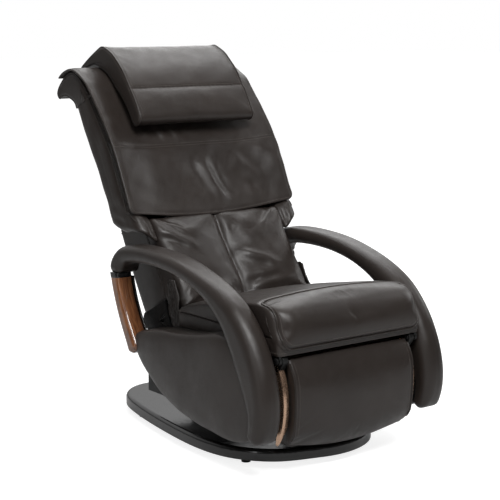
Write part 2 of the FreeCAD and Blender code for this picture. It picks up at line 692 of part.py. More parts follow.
def back_pad():
    rows = swelling(BACK_HALF + PAD_OVERHANG, 22.0, 0.0)
    save("back_pad", leaned(loft([pad_section(x, pull) for x, pull, swell in rows])))


# Depth and height above the top of the wings
PILLOW_OUTLINE = ((-110, -122), (-119, -138), (-140, -142), (-156, -132), (-160, -108), (-157, -60),
                  (-151, -14), (-146, 20), (-138, 54), (-116, 108), (-90, 144), (-76, 156), (-58, 161),
                  (10, 164), (62, 162), (70, 156), (64, 150), (30, 139), (0, 132), (-24, 114),
                  (-52, 79), (-66, 53), (-79, 14), (-95, -28), (-105, -68), (-109, -98))
PILLOW_SPINE = ((-134, -122), (-134, -88), (-122, -8), (-100, 72), (-66, 128), (-20, 146), (60, 156))


def towards_spine(depth, height, pull):
    """Moves a point of the pillow's outline towards its middle line, less than half of the way."""
    point = V(0, depth, height)
    feet = []
    for start, end in zip(PILLOW_SPINE, PILLOW_SPINE[1:]):
        first, along = V(0, *start), V(0, *end) - V(0, *start)
        share = (point - first).dot(along) / along.dot(along)
        feet.append(first + along * min(1.0, max(0.0, share)) - point)
    inward = min(feet, key=lambda foot: foot.Length)
    return point + inward * min(0.45, pull / inward.Length)


def pillow_section(x, pull):
    points = [towards_spine(depth, height, pull) for depth, height in PILLOW_OUTLINE]
    return arc_wire([V(x, point.y, BACK_TOP + point.z) for point in points])


def head_pillow():
    rows = swelling(PILLOW_WIDTH / 2, 12.0, 0.0, 2.0)
    save("head_pillow", leaned(loft([pillow_section(x, pull) for x, pull, swell in rows])))


# Massage drive

def guide_rails():
    low = BOTTOM_BAR_S + SIDE_TUBE
    high = BACK_TOP - SIDE_TUBE
    x = (GUIDE_X - GUIDE_W / 2, GUIDE_X + GUIDE_W / 2)
    depth = (SIDE_TUBE_FRONT + 2, SIDE_TUBE_FRONT + 2 + GUIDE_D)
    outer = box(x, depth, (low, high))
    inner = box((x[0], x[1] - GUIDE_WALL), (depth[0] + GUIDE_WALL, depth[1] - GUIDE_WALL), (low, high))
    save_both("guide_rails", leaned(outer.cut(inner)))


def carriage():
    half_x = GUIDE_X - GUIDE_W / 2 - 2
    slot = (SIDE_TUBE_FRONT + 2 + GUIDE_WALL, SIDE_TUBE_FRONT + 2 + GUIDE_D - GUIDE_WALL)
    mid = (slot[0] + slot[1]) / 2
    low = CARRIAGE_S - CARRIAGE_H / 2
    high = CARRIAGE_S + CARRIAGE_H / 2
    plate = box((-half_x, half_x), (mid - CARRIAGE_T / 2, mid + CARRIAGE_T / 2), (low, high))
    shaft_s = high - 22
    for side in (1, -1):
        xs = sorted((side * (half_x - 8), side * half_x))
        lug = box(xs, (SHAFT_DEPTH - SHAFT_R - 5, mid), (shaft_s - 14, shaft_s + 14))
        plate = plate.fuse(lug)
        bore = rod((xs[0], SHAFT_DEPTH, shaft_s), (xs[1], SHAFT_DEPTH, shaft_s), SHAFT_R + RUN_GAP)
        plate = plate.cut(bore)
    save("carriage_plate", leaned(plate.removeSplitter()))
    glides = []
    for side in (1, -1):
        for start in (low, high - GLIDE_H):
            xs = sorted((side * half_x, side * (GUIDE_X + GUIDE_W / 2 - GUIDE_WALL - 0.5)))
            glides.append(leaned(box(xs, (slot[0] + 0.4, slot[1] - 0.4), (start, start + GLIDE_H))))
    save("carriage_glides", *glides)
    motor = rod((-38, -14, low + 26), (18, -14, low + 26), 20)
    foot = box((-32, 12), (-14, mid - CARRIAGE_T / 2), (low + 10, low + 42))
    save("carriage_motor", leaned(motor.fuse(foot).removeSplitter()))
    shaft = rod((-half_x, SHAFT_DEPTH, shaft_s), (half_x, SHAFT_DEPTH, shaft_s), SHAFT_R)
    save("kneading_shaft", leaned(shaft))
    arms = []
    rollers = []
    depth = SHAFT_DEPTH - ROLLER_REACH
    for side in (1, -1):
        xs = sorted((side * (ROLLER_X - ARM_T - 1), side * (ROLLER_X - 1)))
        outline = ((SHAFT_DEPTH + 10, shaft_s - 9), (SHAFT_DEPTH + 10, shaft_s + 9),
                   (depth - 7, shaft_s + ROLLER_SPREAD + 7), (depth - 7, shaft_s - ROLLER_SPREAD - 7))
        arm = side_plate(outline, xs)
        arm = arm.cut(rod((xs[0], SHAFT_DEPTH, shaft_s), (xs[1], SHAFT_DEPTH, shaft_s), SHAFT_R))
        arms.append(leaned(arm))
        for up in (1, -1):
            start = sorted((side * (ROLLER_X - 1), side * (ROLLER_X - 1 + ROLLER_W)))
            s = shaft_s + up * ROLLER_SPREAD
            wheel = rod((start[0], depth, s), (start[1], depth, s), ROLLER_R)
            rims = [edge for edge in wheel.Edges if edge.BoundBox.XLength < 0.01]
            rollers.append(leaned(wheel.makeFillet(4.0, rims)))
    save("roller_arms", *arms)
    save("massage_rollers", *rollers)


# Recline actuator

def actuator():
    mount_y = RAIL_Y[0] + UPRIGHT_D / 2
    body_y = (mount_y + TUBE_R + 14, mount_y + TUBE_R + 14 + ACTUATOR_L)
    body = rod((0, body_y[0], ROD_Z), (0, body_y[1], ROD_Z), ACTUATOR_R)
    saddle = box((-14, 14), (mount_y + 2, body_y[0]), (ROD_Z - 14, ROD_Z + 14))
    saddle = saddle.cut(rod((-14, mount_y, ROD_Z), (14, mount_y, ROD_Z), TUBE_R))
    body = body.fuse(saddle)
    body = body.cut(rod((0, body_y[0] + 10, ROD_Z), (0, body_y[1], ROD_Z), ROD_R + 1))
    save("actuator_body", body.removeSplitter())
    motor_z = ROD_Z - ACTUATOR_R - 20
    motor = rod((0, body_y[0] + 4, motor_z), (0, body_y[0] + 94, motor_z), 20)
    save("actuator_motor", motor)
    rod_start = body_y[0] + 100
    shaft = rod((0, rod_start, ROD_Z), (0, CRANK_Y, ROD_Z), ROD_R)
    eye = rod((-9, CRANK_Y, ROD_Z), (9, CRANK_Y, ROD_Z), ROD_R)
    pin = rod((-24, CRANK_Y, ROD_Z), (24, CRANK_Y, ROD_Z), ROD_PIN_R)
    save("actuator_rod", shaft.fuse(eye).fuse(pin).removeSplitter())


# Leg rest

def leg_brackets():
    y, z = LEG_PIVOT
    x = (APRON_IN - LEG_BRACKET_T, APRON_IN)
    plate = box(x, (SEAT_FRONT_Y + APRON_T, y + 18), (z, PAN_Z))
    plate = plate.fuse(rod((x[0], y, z), (x[1], y, z), LEG_LUG_R))
    plate = plate.cut(rod((x[0], y, z), (x[1], y, z), LEG_PIN_R))
    save_both("leg_brackets", plate.removeSplitter())
    save_both("leg_pins", rod((ARC_IN, y, z), (APRON_IN + 4, y, z), LEG_PIN_R))


def polar(angle, radius):
    turn = math.radians(angle)
    return (ARC_CENTRE[0] + radius * math.cos(turn), ARC_CENTRE[1] + radius * math.sin(turn))


def arc_bracket():
    x = (ARC_IN, ARC_OUT)
    high, low = ARC_ENDS
    outer = [V(x[0], *polar(a, ARC_R)) for a in (high, (high + low) / 2, low)]
    inner = [V(x[0], *polar(a, ARC_R - w)) for a, w in ((low, 12), ((high + low) / 2, ARC_W), (high, 16))]
    wire = Part.Wire([Part.Arc(*outer).toShape(), Part.LineSegment(outer[-1], inner[0]).toShape(),
                      Part.Arc(*inner).toShape(), Part.LineSegment(inner[-1], outer[0]).toShape()])
    crescent = Part.Face(wire).extrude(V(ARC_T, 0, 0))
    leg_y, leg_z = LEG_PIVOT
    lug = rod((x[0], leg_y, leg_z), (x[1], leg_y, leg_z), LEG_LUG_R)
    neck = side_plate(((leg_y - 8, leg_z - 8), (leg_y + 8, leg_z + 6), polar(high, ARC_R - 16),
                       polar(high + 6, ARC_R - 16), polar(high + 6, ARC_R)), x)
    pod_y, pod_z = POD_PIVOT
    hub = rod((x[0], pod_y, pod_z), (x[1], pod_y, pod_z), STUB_LUG_R)
    web = side_plate(((pod_y, pod_z - STUB_LUG_R * 0.8), (pod_y, pod_z + STUB_LUG_R * 0.8),
                      polar(170, ARC_R - 20), polar(194, ARC_R - 20)), x)
    body = crescent.fuse(lug).fuse(neck).fuse(hub).fuse(web)
    body = body.cut(rod((x[0], leg_y, leg_z), (x[1], leg_y, leg_z), LEG_PIN_R + RUN_GAP))
    body = body.cut(rod((x[0], pod_y, pod_z), (x[1], pod_y, pod_z), STUB_R + RUN_GAP))
    return body.removeSplitter()


POD_PROFILE = ((POD_SPLIT_Y, 88), (-418, 80), (-390, 80), (-350, 92), (-332, 130), (-325, 195),
               (-332, 262), (-350, 298), (-390, 312), (-418, 314), (POD_SPLIT_Y, 308), (POD_SPLIT_Y, 200))


def pod_shell():
    half = POD_HALF - 6
    wire = arc_wire([V(-half, y, z) for y, z in POD_PROFILE])
    shell = Part.Face(wire).extrude(V(2 * half, 0, 0))
    liners = []
    for side in (1, -1):
        low, high = (side * CHANNEL_X, CHANNEL_Y, 0), (side * CHANNEL_X, CHANNEL_Y, 400)
        channel = rod(low, high, CHANNEL_R)
        lined = shell.common(pipe(low, high, CHANNEL_R, CHANNEL_PAD_T))
        shell = shell.cut(channel)
        liners.append(lined)
    pod_y, pod_z = POD_PIVOT
    stubs = []
    for side in (1, -1):
        start = (side * (half - 30), pod_y, pod_z)
        end = (side * ARC_OUT, pod_y, pod_z)
        stub = rod(start, end, STUB_R)
        shell = shell.cut(stub)
        stubs.append(stub)
    save("pod_shell", shell)
    save("calf_liners", *liners)
    save("pod_pivot_stubs", *stubs)


def pod_front_section(x, pull, swell):
    """The pad's side profile at x: its lower edge sags to the middle."""
    rear = POD_SPLIT_Y
    low = POD_SIDE_Z - POD_SAG * (1 - (x / POD_HALF) ** 2) + pull * 0.4
    high = POD_TOP_Z - pull * 0.5
    mid = (low + high) / 2
    front = swell - pull
    points = ((rear, low), (rear - 12, low + 2), (rear - 26 - front, low + 26),
              (rear - 34 - front, mid - 30), (rear - 35 - front, mid + 10), (rear - 26 - front, high - 50),
              (rear - 10 - front / 3, high - 8), (rear - 4, high - 1), (rear, high), (rear, mid))
    return arc_wire([V(x, y, z) for y, z in points])


def pod_front_pad():
    save("pod_front_pad", loft([pod_front_section(*row) for row in swelling(POD_HALF, 20.0, 4.0)]))


def leg_rest():
    leg_brackets()
    save_both("leg_arcs", arc_bracket())
    pod_shell()
    pod_front_pad()


# Power

def power_parts():
    x = (-BOX_W / 2, BOX_W / 2)
    z = (RAIL_Z, RAIL_Z + BOX_H)
    case = box(x, BOX_Y, z).cut(box((x[0] + BOX_T, x[1] - BOX_T), (BOX_Y[0] + BOX_T, BOX_Y[1] - BOX_T),
                                    (z[0] + BOX_T, z[1] - BOX_T)))
    mid = (z[0] + z[1]) / 2
    rear = (BOX_Y[1] - BOX_T, BOX_Y[1])
    inlet_hole = box((INLET_X - 14, INLET_X + 14), rear, (mid - 10, mid + 10))
    half_w = SWITCH_W / 2
    hole_x = (SWITCH_X - half_w - SOFT_GAP, SWITCH_X + half_w + SOFT_GAP)
    switch_hole = box(hole_x, rear, (mid - 13, mid + 13))
    save("control_box", case.cut(inlet_hole).cut(switch_hole))
    inlet = box((INLET_X - 14, INLET_X + 14), (BOX_Y[1] - 22, BOX_Y[1]), (mid - 10, mid + 10))
    flange = box((INLET_X - 24, INLET_X + 24), (BOX_Y[1], BOX_Y[1] + 3), (mid - 14, mid + 14))
    recess = box((INLET_X - 12, INLET_X + 12), (BOX_Y[1] - 18, BOX_Y[1] + 3), (mid - 8, mid + 8))
    pins = [box((INLET_X + dx - 1, INLET_X + dx + 1), (BOX_Y[1] - 18, BOX_Y[1] - 8), (mid - 3, mid + 3))
            for dx in (-7, 0, 7)]
    socket = inlet.fuse(flange).cut(recess)
    for pin in pins:
        socket = socket.fuse(pin)
    save("power_inlet", socket.removeSplitter())
    pivot = BOX_Y[1] - SWITCH_DEPTH
    outline = ((pivot - 4, mid - 8), (pivot + 10, mid - 11), (pivot + 7, mid), (pivot + 10, mid + 11),
               (pivot - 4, mid + 8))
    save("power_switch", side_plate(outline, (SWITCH_X - half_w, SWITCH_X + half_w)))


def main():
    base_plate()
    base_feet()
    swivel_parts()
    swivel_hub()
    hub_plate()
    frame_rails()
    front_frame()
    pivot_brackets()
    stand_offs()
    seat_base()
    seat_cushion()
    side_panels()
    back_frame()
    actuator_bracket()
    waist_shell()
    waist_cushion()
    upper_back()
    back_pad()
    head_pillow()
    guide_rails()
    carriage()
    actuator()
    leg_rest()
    power_parts()


main()
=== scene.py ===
import json
import math

import bmesh
import bpy
import numpy as np
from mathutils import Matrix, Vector
from mathutils.bvhtree import BVHTree


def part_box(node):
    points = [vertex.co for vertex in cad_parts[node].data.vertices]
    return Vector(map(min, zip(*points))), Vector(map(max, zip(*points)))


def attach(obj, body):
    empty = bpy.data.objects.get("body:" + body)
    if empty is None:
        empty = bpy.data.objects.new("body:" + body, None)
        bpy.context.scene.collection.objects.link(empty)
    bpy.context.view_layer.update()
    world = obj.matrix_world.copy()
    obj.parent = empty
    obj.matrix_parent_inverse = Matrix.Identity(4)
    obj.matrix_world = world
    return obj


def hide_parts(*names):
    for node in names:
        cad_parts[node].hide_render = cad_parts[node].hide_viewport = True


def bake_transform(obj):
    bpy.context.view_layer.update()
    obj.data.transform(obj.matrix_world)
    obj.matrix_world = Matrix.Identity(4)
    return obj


# Massage chair: leather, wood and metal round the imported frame. Lengths below are in millimetres
# and become metres in chair() and back(), which place them from the frame's joints.

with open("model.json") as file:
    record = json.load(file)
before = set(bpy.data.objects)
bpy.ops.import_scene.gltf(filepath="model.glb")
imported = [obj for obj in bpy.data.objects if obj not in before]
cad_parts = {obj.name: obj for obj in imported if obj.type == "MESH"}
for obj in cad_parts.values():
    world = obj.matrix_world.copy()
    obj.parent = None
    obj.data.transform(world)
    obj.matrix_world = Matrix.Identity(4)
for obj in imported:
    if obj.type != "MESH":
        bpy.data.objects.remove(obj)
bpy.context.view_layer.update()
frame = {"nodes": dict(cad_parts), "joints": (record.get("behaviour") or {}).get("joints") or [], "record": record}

MM = 0.001
joints = {joint["name"]: joint for joint in frame["joints"]}
SWIVEL = np.array(joints["swivel"]["pos_m"]) * (1, 1, 0)
HINGE = np.array(joints["recline"]["pos_m"])
UP = np.array(joints["pillow_lift"]["axis"])
ACROSS = np.array((1.0, 0.0, 0.0))
DEEP = np.cross(UP, ACROSS)
FRONT = np.array((0.0, -1.0, 0.0))

SEAT_HALF = 255.0
ARM_OUT = 337.0
WAIST_HALF = 235.0
WAIST_REAR = -46.3          # depth of the shell's mouth, where the waist cushion lies
BACK_HALF = 297.0
WING_IN = 237.0
BACK_TOP = 728.0            # where the wings end and the head roll starts
PAD_HALF = 303.0
PILLOW_HALF = 214.0
POD_HALF = 213.0


def chair(points):
    """Points about the swivel axis on the floor, in millimetres, as points of the frame."""
    return np.asarray(points, float) * MM + SWIVEL


def back(points):
    """Points of the upright back as (x, depth, height) from its hinge, as points of the frame."""
    p = np.asarray(points, float) * MM
    return HINGE + p[..., :1] * ACROSS + p[..., 1:2] * DEEP + p[..., 2:3] * UP


def across(place, x, outline):
    """An outline in the side view, put at one place across by chair() or back()."""
    return place(np.column_stack((np.full(len(outline), x), outline)))


def level(place, plan, height):
    """An outline in plan, put at one height by chair() or back()."""
    return place(np.column_stack((plan, np.full(len(plan), height))))


def hand(side):
    return "left" if side > 0 else "right"


# Curves

def spline(points, count, closed=False):
    """A smooth curve through the points, at count steps of its own parameter."""
    p = np.asarray(points, float)
    n = len(p)
    spans = n if closed else n - 1
    t = np.arange(count) * spans / (count if closed else count - 1)
    i = np.minimum(t.astype(int), spans - 1)
    f = (t - i)[:, None]

    def at(k):
        return p[k % n] if closed else p[np.clip(k, 0, n - 1)]

    a, b, c, d = at(i - 1), at(i), at(i + 1), at(i + 2)
    if not closed:
        a = np.where((i == 0)[:, None], 2 * b - c, a)
        d = np.where((i == spans - 1)[:, None], 2 * c - b, d)
    bend = (2 * a - 5 * b + 4 * c - d) * f ** 2
    return 0.5 * (2 * b + (c - a) * f + bend + (3 * b - a - 3 * c + d) * f ** 3)


def reach_of(path):
    """How far along a path each of its points is."""
    steps = np.linalg.norm(np.diff(path, axis=0), axis=1)
    return np.concatenate(((0.0,), np.cumsum(steps)))


def unit(vectors):
    return vectors / np.linalg.norm(vectors, axis=-1, keepdims=True)


def even(points, count, closed=False):
    """The same curve with its points spaced evenly along its length."""
    dense = spline(points, 16 * len(points) + 1, closed)
    if closed:
        dense = np.vstack((dense, dense[:1]))
    reach = reach_of(dense)
    wanted = np.linspace(0, reach[-1], count + 1 if closed else count)
    out = np.stack([np.interp(wanted, reach, column) for column in dense.T], -1)
    return out[:-1] if closed else out


def along(points, places):
    """Reads a smooth curve of (place, value) points at the given places."""
    dense = spline(points, 24 * len(points))
    if dense[0, 0] > dense[-1, 0]:
        dense = dense[::-1]
    return np.interp(places, dense[:, 0], dense[:, 1])


def smooth(t):
    t = np.clip(t, 0.0, 1.0)
    return t * t * (3 - 2 * t)


def inset(outline, pull):
    """A closed outline drawn in along its own normals."""
    run = np.roll(outline, -1, 0) - np.roll(outline, 1, 0)
    side = unit(np.stack((-run[:, 1], run[:, 0]), -1))
    after = np.roll(outline, -1, 0)
    area = np.sum(outline[:, 0] * after[:, 1] - outline[:, 1] * after[:, 0])
    return outline + side * (pull if area > 0 else -pull)


def linked(name, data):
    """A new object in the scene. A mesh is shaded smooth."""
    if isinstance(data, bpy.types.Mesh):
        data.polygons.foreach_set("use_smooth", [True] * len(data.polygons))
    obj = bpy.data.objects.new(name, data)
    bpy.context.scene.collection.objects.link(obj)
    return obj


def discard(obj):
    data = obj.data
    bpy.data.objects.remove(obj)
    bpy.data.meshes.remove(data)


def towards(outline, middle_line, pull):
    """A closed outline drawn towards its middle line, by less than half of the way."""
    spine = even(middle_line, 60)
    away = outline[:, None] - spine[None]
    reach = np.linalg.norm(away, axis=2)
    nearest = reach.argmin(axis=1)
    inward = -away[np.arange(len(outline)), nearest]
    distance = reach.min(axis=1)
    share = np.minimum(0.45, pull / np.maximum(distance, 1.0))
    return outline + inward * share[:, None]


def stations(half, round_by, step=6.0):
    """Places across a padded piece as (x, inset), closer together in its rounded ends."""
    flat = half - round_by
    count = int(2 * flat / step) + 1
    rows = [(x, 0.0) for x in np.linspace(-flat, flat, count)]
    for degrees in (18, 36, 54, 72, 90):
        turn = math.radians(degrees)
        x, pull = flat + round_by * math.sin(turn), round_by * (1 - math.cos(turn))
        rows = [(-x, pull)] + rows + [(x, pull)]
    return rows


# Meshes

def mesh_object(name, vertices, faces):
    data = bpy.data.meshes.new(name)
    data.from_pydata([tuple(v) for v in vertices], [], faces)
    data.validate()
    made = bmesh.new()
    made.from_mesh(data)
    bmesh.ops.recalc_face_normals(made, faces=made.faces)
    made.to_mesh(data)
    made.free()
    return linked(name, data)


def loft(name, rings, caps=True):
    """Closed rings of equal counts, joined in order. A cap joins each ring's opposite points."""
    rings = np.asarray(rings, float)
    rows, count = rings.shape[:2]
    faces = []
    for r in range(rows - 1):
        for i in range(count):
            j = (i + 1) % count
            faces.append((r * count + i, r * count + j, (r + 1) * count + j, (r + 1) * count + i))
    if caps:
        for base in (0, (rows - 1) * count):
            for i in range(count // 2 - 1):
                faces.append((base + i, base + i + 1, base + count - 2 - i, base + count - 1 - i))
    return mesh_object(name, rings.reshape(-1, 3), faces)


def tube(name, path, radius, sides=8, closed=False):
    """A round bead along a path of points in the frame."""
    run = np.gradient(path, axis=0)
    if closed:
        run = np.roll(path, -1, 0) - np.roll(path, 1, 0)
    run = unit(run)
    side = np.cross(run[0], (0.31, 0.17, 0.93))
    rings = []
    turn = np.arange(sides) * 2 * math.pi / sides
    for p, t in zip(path, run):
        side = unit(side - t * side.dot(t))
        other = np.cross(t, side)
        rings.append(p + radius * (np.cos(turn)[:, None] * side + np.sin(turn)[:, None] * other))
    if closed:
        rings.append(rings[0])
    return loft(name, rings, caps=not closed)


def joined(name, objects):
    """Several meshes as one object."""
    made = bmesh.new()
    for obj in objects:
        made.from_mesh(obj.data)
        discard(obj)
    data = bpy.data.meshes.new(name)
    made.to_mesh(data)
    made.free()
    return linked(name, data)


# Padded bodies

CLOTH_STEPS = 20
CLOTH_PRESSURE = 3.0
CLOTH_STIFFNESS = 15.0
RIPPLES = 24                # waves that a slack cover is made of


class Body:
    """A padded piece kept as a grid: a closed ring of points for each place across it."""

    def __init__(self, rings):
        self.rings = np.asarray(rings, float)

    def normals(self):
        p = self.rings
        around = np.roll(p, -1, 1) - np.roll(p, 1, 1)
        n = np.cross(around, np.gradient(p, axis=0))
        n /= np.maximum(np.linalg.norm(n, axis=2), 1e-9)[..., None]
        outward = p - p.mean(axis=1, keepdims=True)
        return n if (n * outward).sum() > 0 else -n

    def at(self, r, i):
        """Points at fractional places on the grid."""
        rows, count = self.rings.shape[:2]
        r = np.clip(np.asarray(r, float), 0, rows - 1.001)
        i = np.asarray(i, float) % count
        r0, i0 = r.astype(int), i.astype(int)
        fr, fi = (r - r0)[:, None], (i - i0)[:, None]
        i1 = (i0 + 1) % count
        g = self.rings
        low = g[r0, i0] * (1 - fi) + g[r0, i1] * fi
        high = g[r0 + 1, i0] * (1 - fi) + g[r0 + 1, i1] * fi
        return low * (1 - fr) + high * fr

    def row(self, x):
        """The fractional ring at a place across, in millimetres."""
        return float(np.interp(x * MM, self.rings[:, :, 0].mean(axis=1), np.arange(len(self.rings))))

    def raised(self, lift, facing=None):
        """Moves the surface out along its normals, only where it faces one way if a way is given."""
        normals = self.normals().reshape(-1, 3)
        if facing is not None:
            lift = lift * smooth((normals @ np.asarray(facing)) * 2)
        self.rings = self.rings + (normals * lift[:, None]).reshape(self.rings.shape)

    def fold(self, path, height, width, far=None, ends=0.35, facing=None):
        """Raises a soft ridge along a path on the surface, or sinks a crease if height is negative."""
        line = even(path, 48)
        run = unit(np.gradient(line, axis=0))
        points = self.rings.reshape(-1, 3)
        away = points[:, None] - line[None]
        reach = np.linalg.norm(away, axis=2)
        k = reach.argmin(axis=1)
        nearest = away[np.arange(len(points)), k]
        left = (np.cross(run[k], self.normals().reshape(-1, 3)) * nearest).sum(axis=1) > 0
        wide = np.where(left, width, far or width) * MM
        share = k / (len(line) - 1)
        taper = smooth(np.minimum(share, 1 - share) / ends)
        self.raised(np.exp(-(reach.min(axis=1) / wide) ** 2) * taper * height * MM, facing)

    def ripple(self, height, scale, seed, facing=None):
        """Slack in the cover: smooth uneven waves along the normals."""
        rng = np.random.default_rng(seed)
        points = self.rings.reshape(-1, 3)
        total = np.zeros(len(points))
        for _ in range(RIPPLES):
            way = unit(rng.normal(size=3))
            pace = 2 * math.pi / (scale * MM) * rng.uniform(0.6, 1.7)
            total += np.sin(points @ way * pace + rng.uniform(0, 6.3))
        self.raised(total / RIPPLES ** 0.5 * height * MM, facing)

    def inflate(self, held, cap):
        """held is the pinned share of each point, and no point moves further than cap millimetres.
        """
        rest = self.rings.reshape(-1, 3).copy()
        obj = loft("simulated", self.rings)
        group = obj.vertex_groups.new(name="held")
        held = np.round(np.broadcast_to(held, self.rings.shape[:2]).ravel(), 2)
        for share in np.unique(held):
            if share > 0:
                members = np.nonzero(np.isclose(held, share))[0]
                group.add([int(m) for m in members], float(share), "REPLACE")
        cloth = obj.modifiers.new("cloth", "CLOTH")
        cloth.point_cache.frame_start = 1
        cloth.point_cache.frame_end = CLOTH_STEPS
        cloth.settings.effector_weights.gravity = 0.0
        for key, value in (
                ("quality", 5), ("mass", 0.3), ("tension_stiffness", CLOTH_STIFFNESS),
                ("compression_stiffness", CLOTH_STIFFNESS), ("shear_stiffness", CLOTH_STIFFNESS / 3),
                ("bending_stiffness", 0.5), ("use_pressure", True),
                ("uniform_pressure_force", CLOTH_PRESSURE), ("vertex_group_mass", "held")):
            setattr(cloth.settings, key, value)
        for step in range(1, CLOTH_STEPS + 1):
            bpy.context.scene.frame_set(step)
        shaped = obj.evaluated_get(bpy.context.evaluated_depsgraph_get())
        out = np.empty(len(rest) * 3)
        shaped.data.vertices.foreach_get("co", out)
        bpy.context.scene.frame_set(1)
        discard(obj)
        move = out.reshape(-1, 3) - rest
        size = np.maximum(np.linalg.norm(move, axis=1), 1e-9)
        limit = cap * MM * np.tanh(size / (cap * MM))
        self.rings = (rest + move * (limit / size)[:, None]).reshape(self.rings.shape)

    def build(self, name, levels=0):
        obj = loft(name, self.rings)
        if levels:
            refine(obj, levels)
        return obj


def refine(obj, levels=1):
    """Applies a subdivision surface."""
    surface = obj.modifiers.new("surface", "SUBSURF")
    surface.levels = levels
    surface.render_levels = levels
    shaped = obj.evaluated_get(bpy.context.evaluated_depsgraph_get())
    data = bpy.data.meshes.new_from_object(shaped)
    old = obj.data
    obj.modifiers.clear()
    obj.data = data
    bpy.data.meshes.remove(old)
    data.polygons.foreach_set("use_smooth", [True] * len(data.polygons))


def surface_of(obj):
    return BVHTree.FromObject(obj, bpy.context.evaluated_depsgraph_get())


def probed(body):
    """The surface of a body as it is, for finding places on it."""
    obj = body.build("probe")
    tree = surface_of(obj)
    discard(obj)
    return tree


def dropped(tree, points, way):
    """Points moved along a direction onto a surface; those that miss it go to its nearest point."""
    out = []
    for p in np.asarray(points, float):
        start = Vector(p) - Vector(way) * 0.4
        hit = tree.ray_cast(start, Vector(way), 0.8)
        out.append(hit[0] if hit[0] is not None else tree.find_nearest(Vector(p))[0])
    return np.array([tuple(p) for p in out])


def on_back(tree, points):
    """A path of (x, height) points on the front of the back."""
    given = even(points, 6 * len(points)) if len(points) > 2 else np.linspace(*points, 24)
    ahead = np.column_stack((given[:, 0], np.full(len(given), -100.0), given[:, 1]))
    return dropped(tree, back(ahead), DEEP)


def piping(name, body, path, radius, closed=False):
    """A bead along a path, one point for every 4 mm."""
    path = np.asarray(path, float)
    count = max(8, int(reach_of(path)[-1] / (4.0 * MM)))
    return trim(tube(name, even(path, count, closed), radius * MM, 8, closed), body)


STITCH_PITCH = 5.0
STITCH_LENGTH = 3.4
STITCH_R = 0.5
STITCH_SIDES = 6
STITCH_SHAPE = (
    # share of half its length, height above the surface, share of its radius
    (-1.0, 0.3, 0.15), (-0.6, 0.58, 1.0), (0.6, 0.58, 1.0), (1.0, 0.3, 0.15))


def stitches(name, body, path, normal, closed=False):
    """A row of thread stitches. normal is one vector, or the object on whose surface they lie."""
    path = np.asarray(path, float)
    points = even(path, max(2, int(reach_of(path)[-1] / (STITCH_PITCH * MM))), closed)
    run = unit(np.gradient(points, axis=0))
    if isinstance(normal, bpy.types.Object):
        normal = surface_normals(normal, points)
    vertices = []
    faces = []
    for p, t, n in zip(points, run, np.broadcast_to(normal, points.shape)):
        side = np.cross(t, n)
        base = len(vertices)
        for share, rise, fat in STITCH_SHAPE:
            centre = p + t * (share * STITCH_LENGTH / 2 * MM) + n * (rise * MM)
            for k in range(STITCH_SIDES):
                turn = k * 2 * math.pi / STITCH_SIDES
                ring = side * math.cos(turn) + n * math.sin(turn)
                vertices.append(centre + ring * (STITCH_R * fat * MM))
        for first in range(base, base + 3 * STITCH_SIDES, STITCH_SIDES):
            for k in range(STITCH_SIDES):
                j = (k + 1) % STITCH_SIDES
                faces.append((first + k, first + j, first + STITCH_SIDES + j, first + STITCH_SIDES + k))
        for first in (base, base + 3 * STITCH_SIDES):
            faces.append(tuple(range(first, first + STITCH_SIDES)))
    return trim(mesh_object(name, vertices, faces), body, material=THREAD)


def upholstery(obj, body, node, slot="padding", material=None):
    """Finishes a piece that stands for a CAD node, and hides that node."""
    trim(obj, body, slot, material)
    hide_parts(node)


def trim(obj, body, slot="leather", material=None):
    """Gives a piece its material and the body that it moves with. slot is not used."""
    paint(obj, material or LEATHER)
    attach(obj, body)
    return obj


# Materials

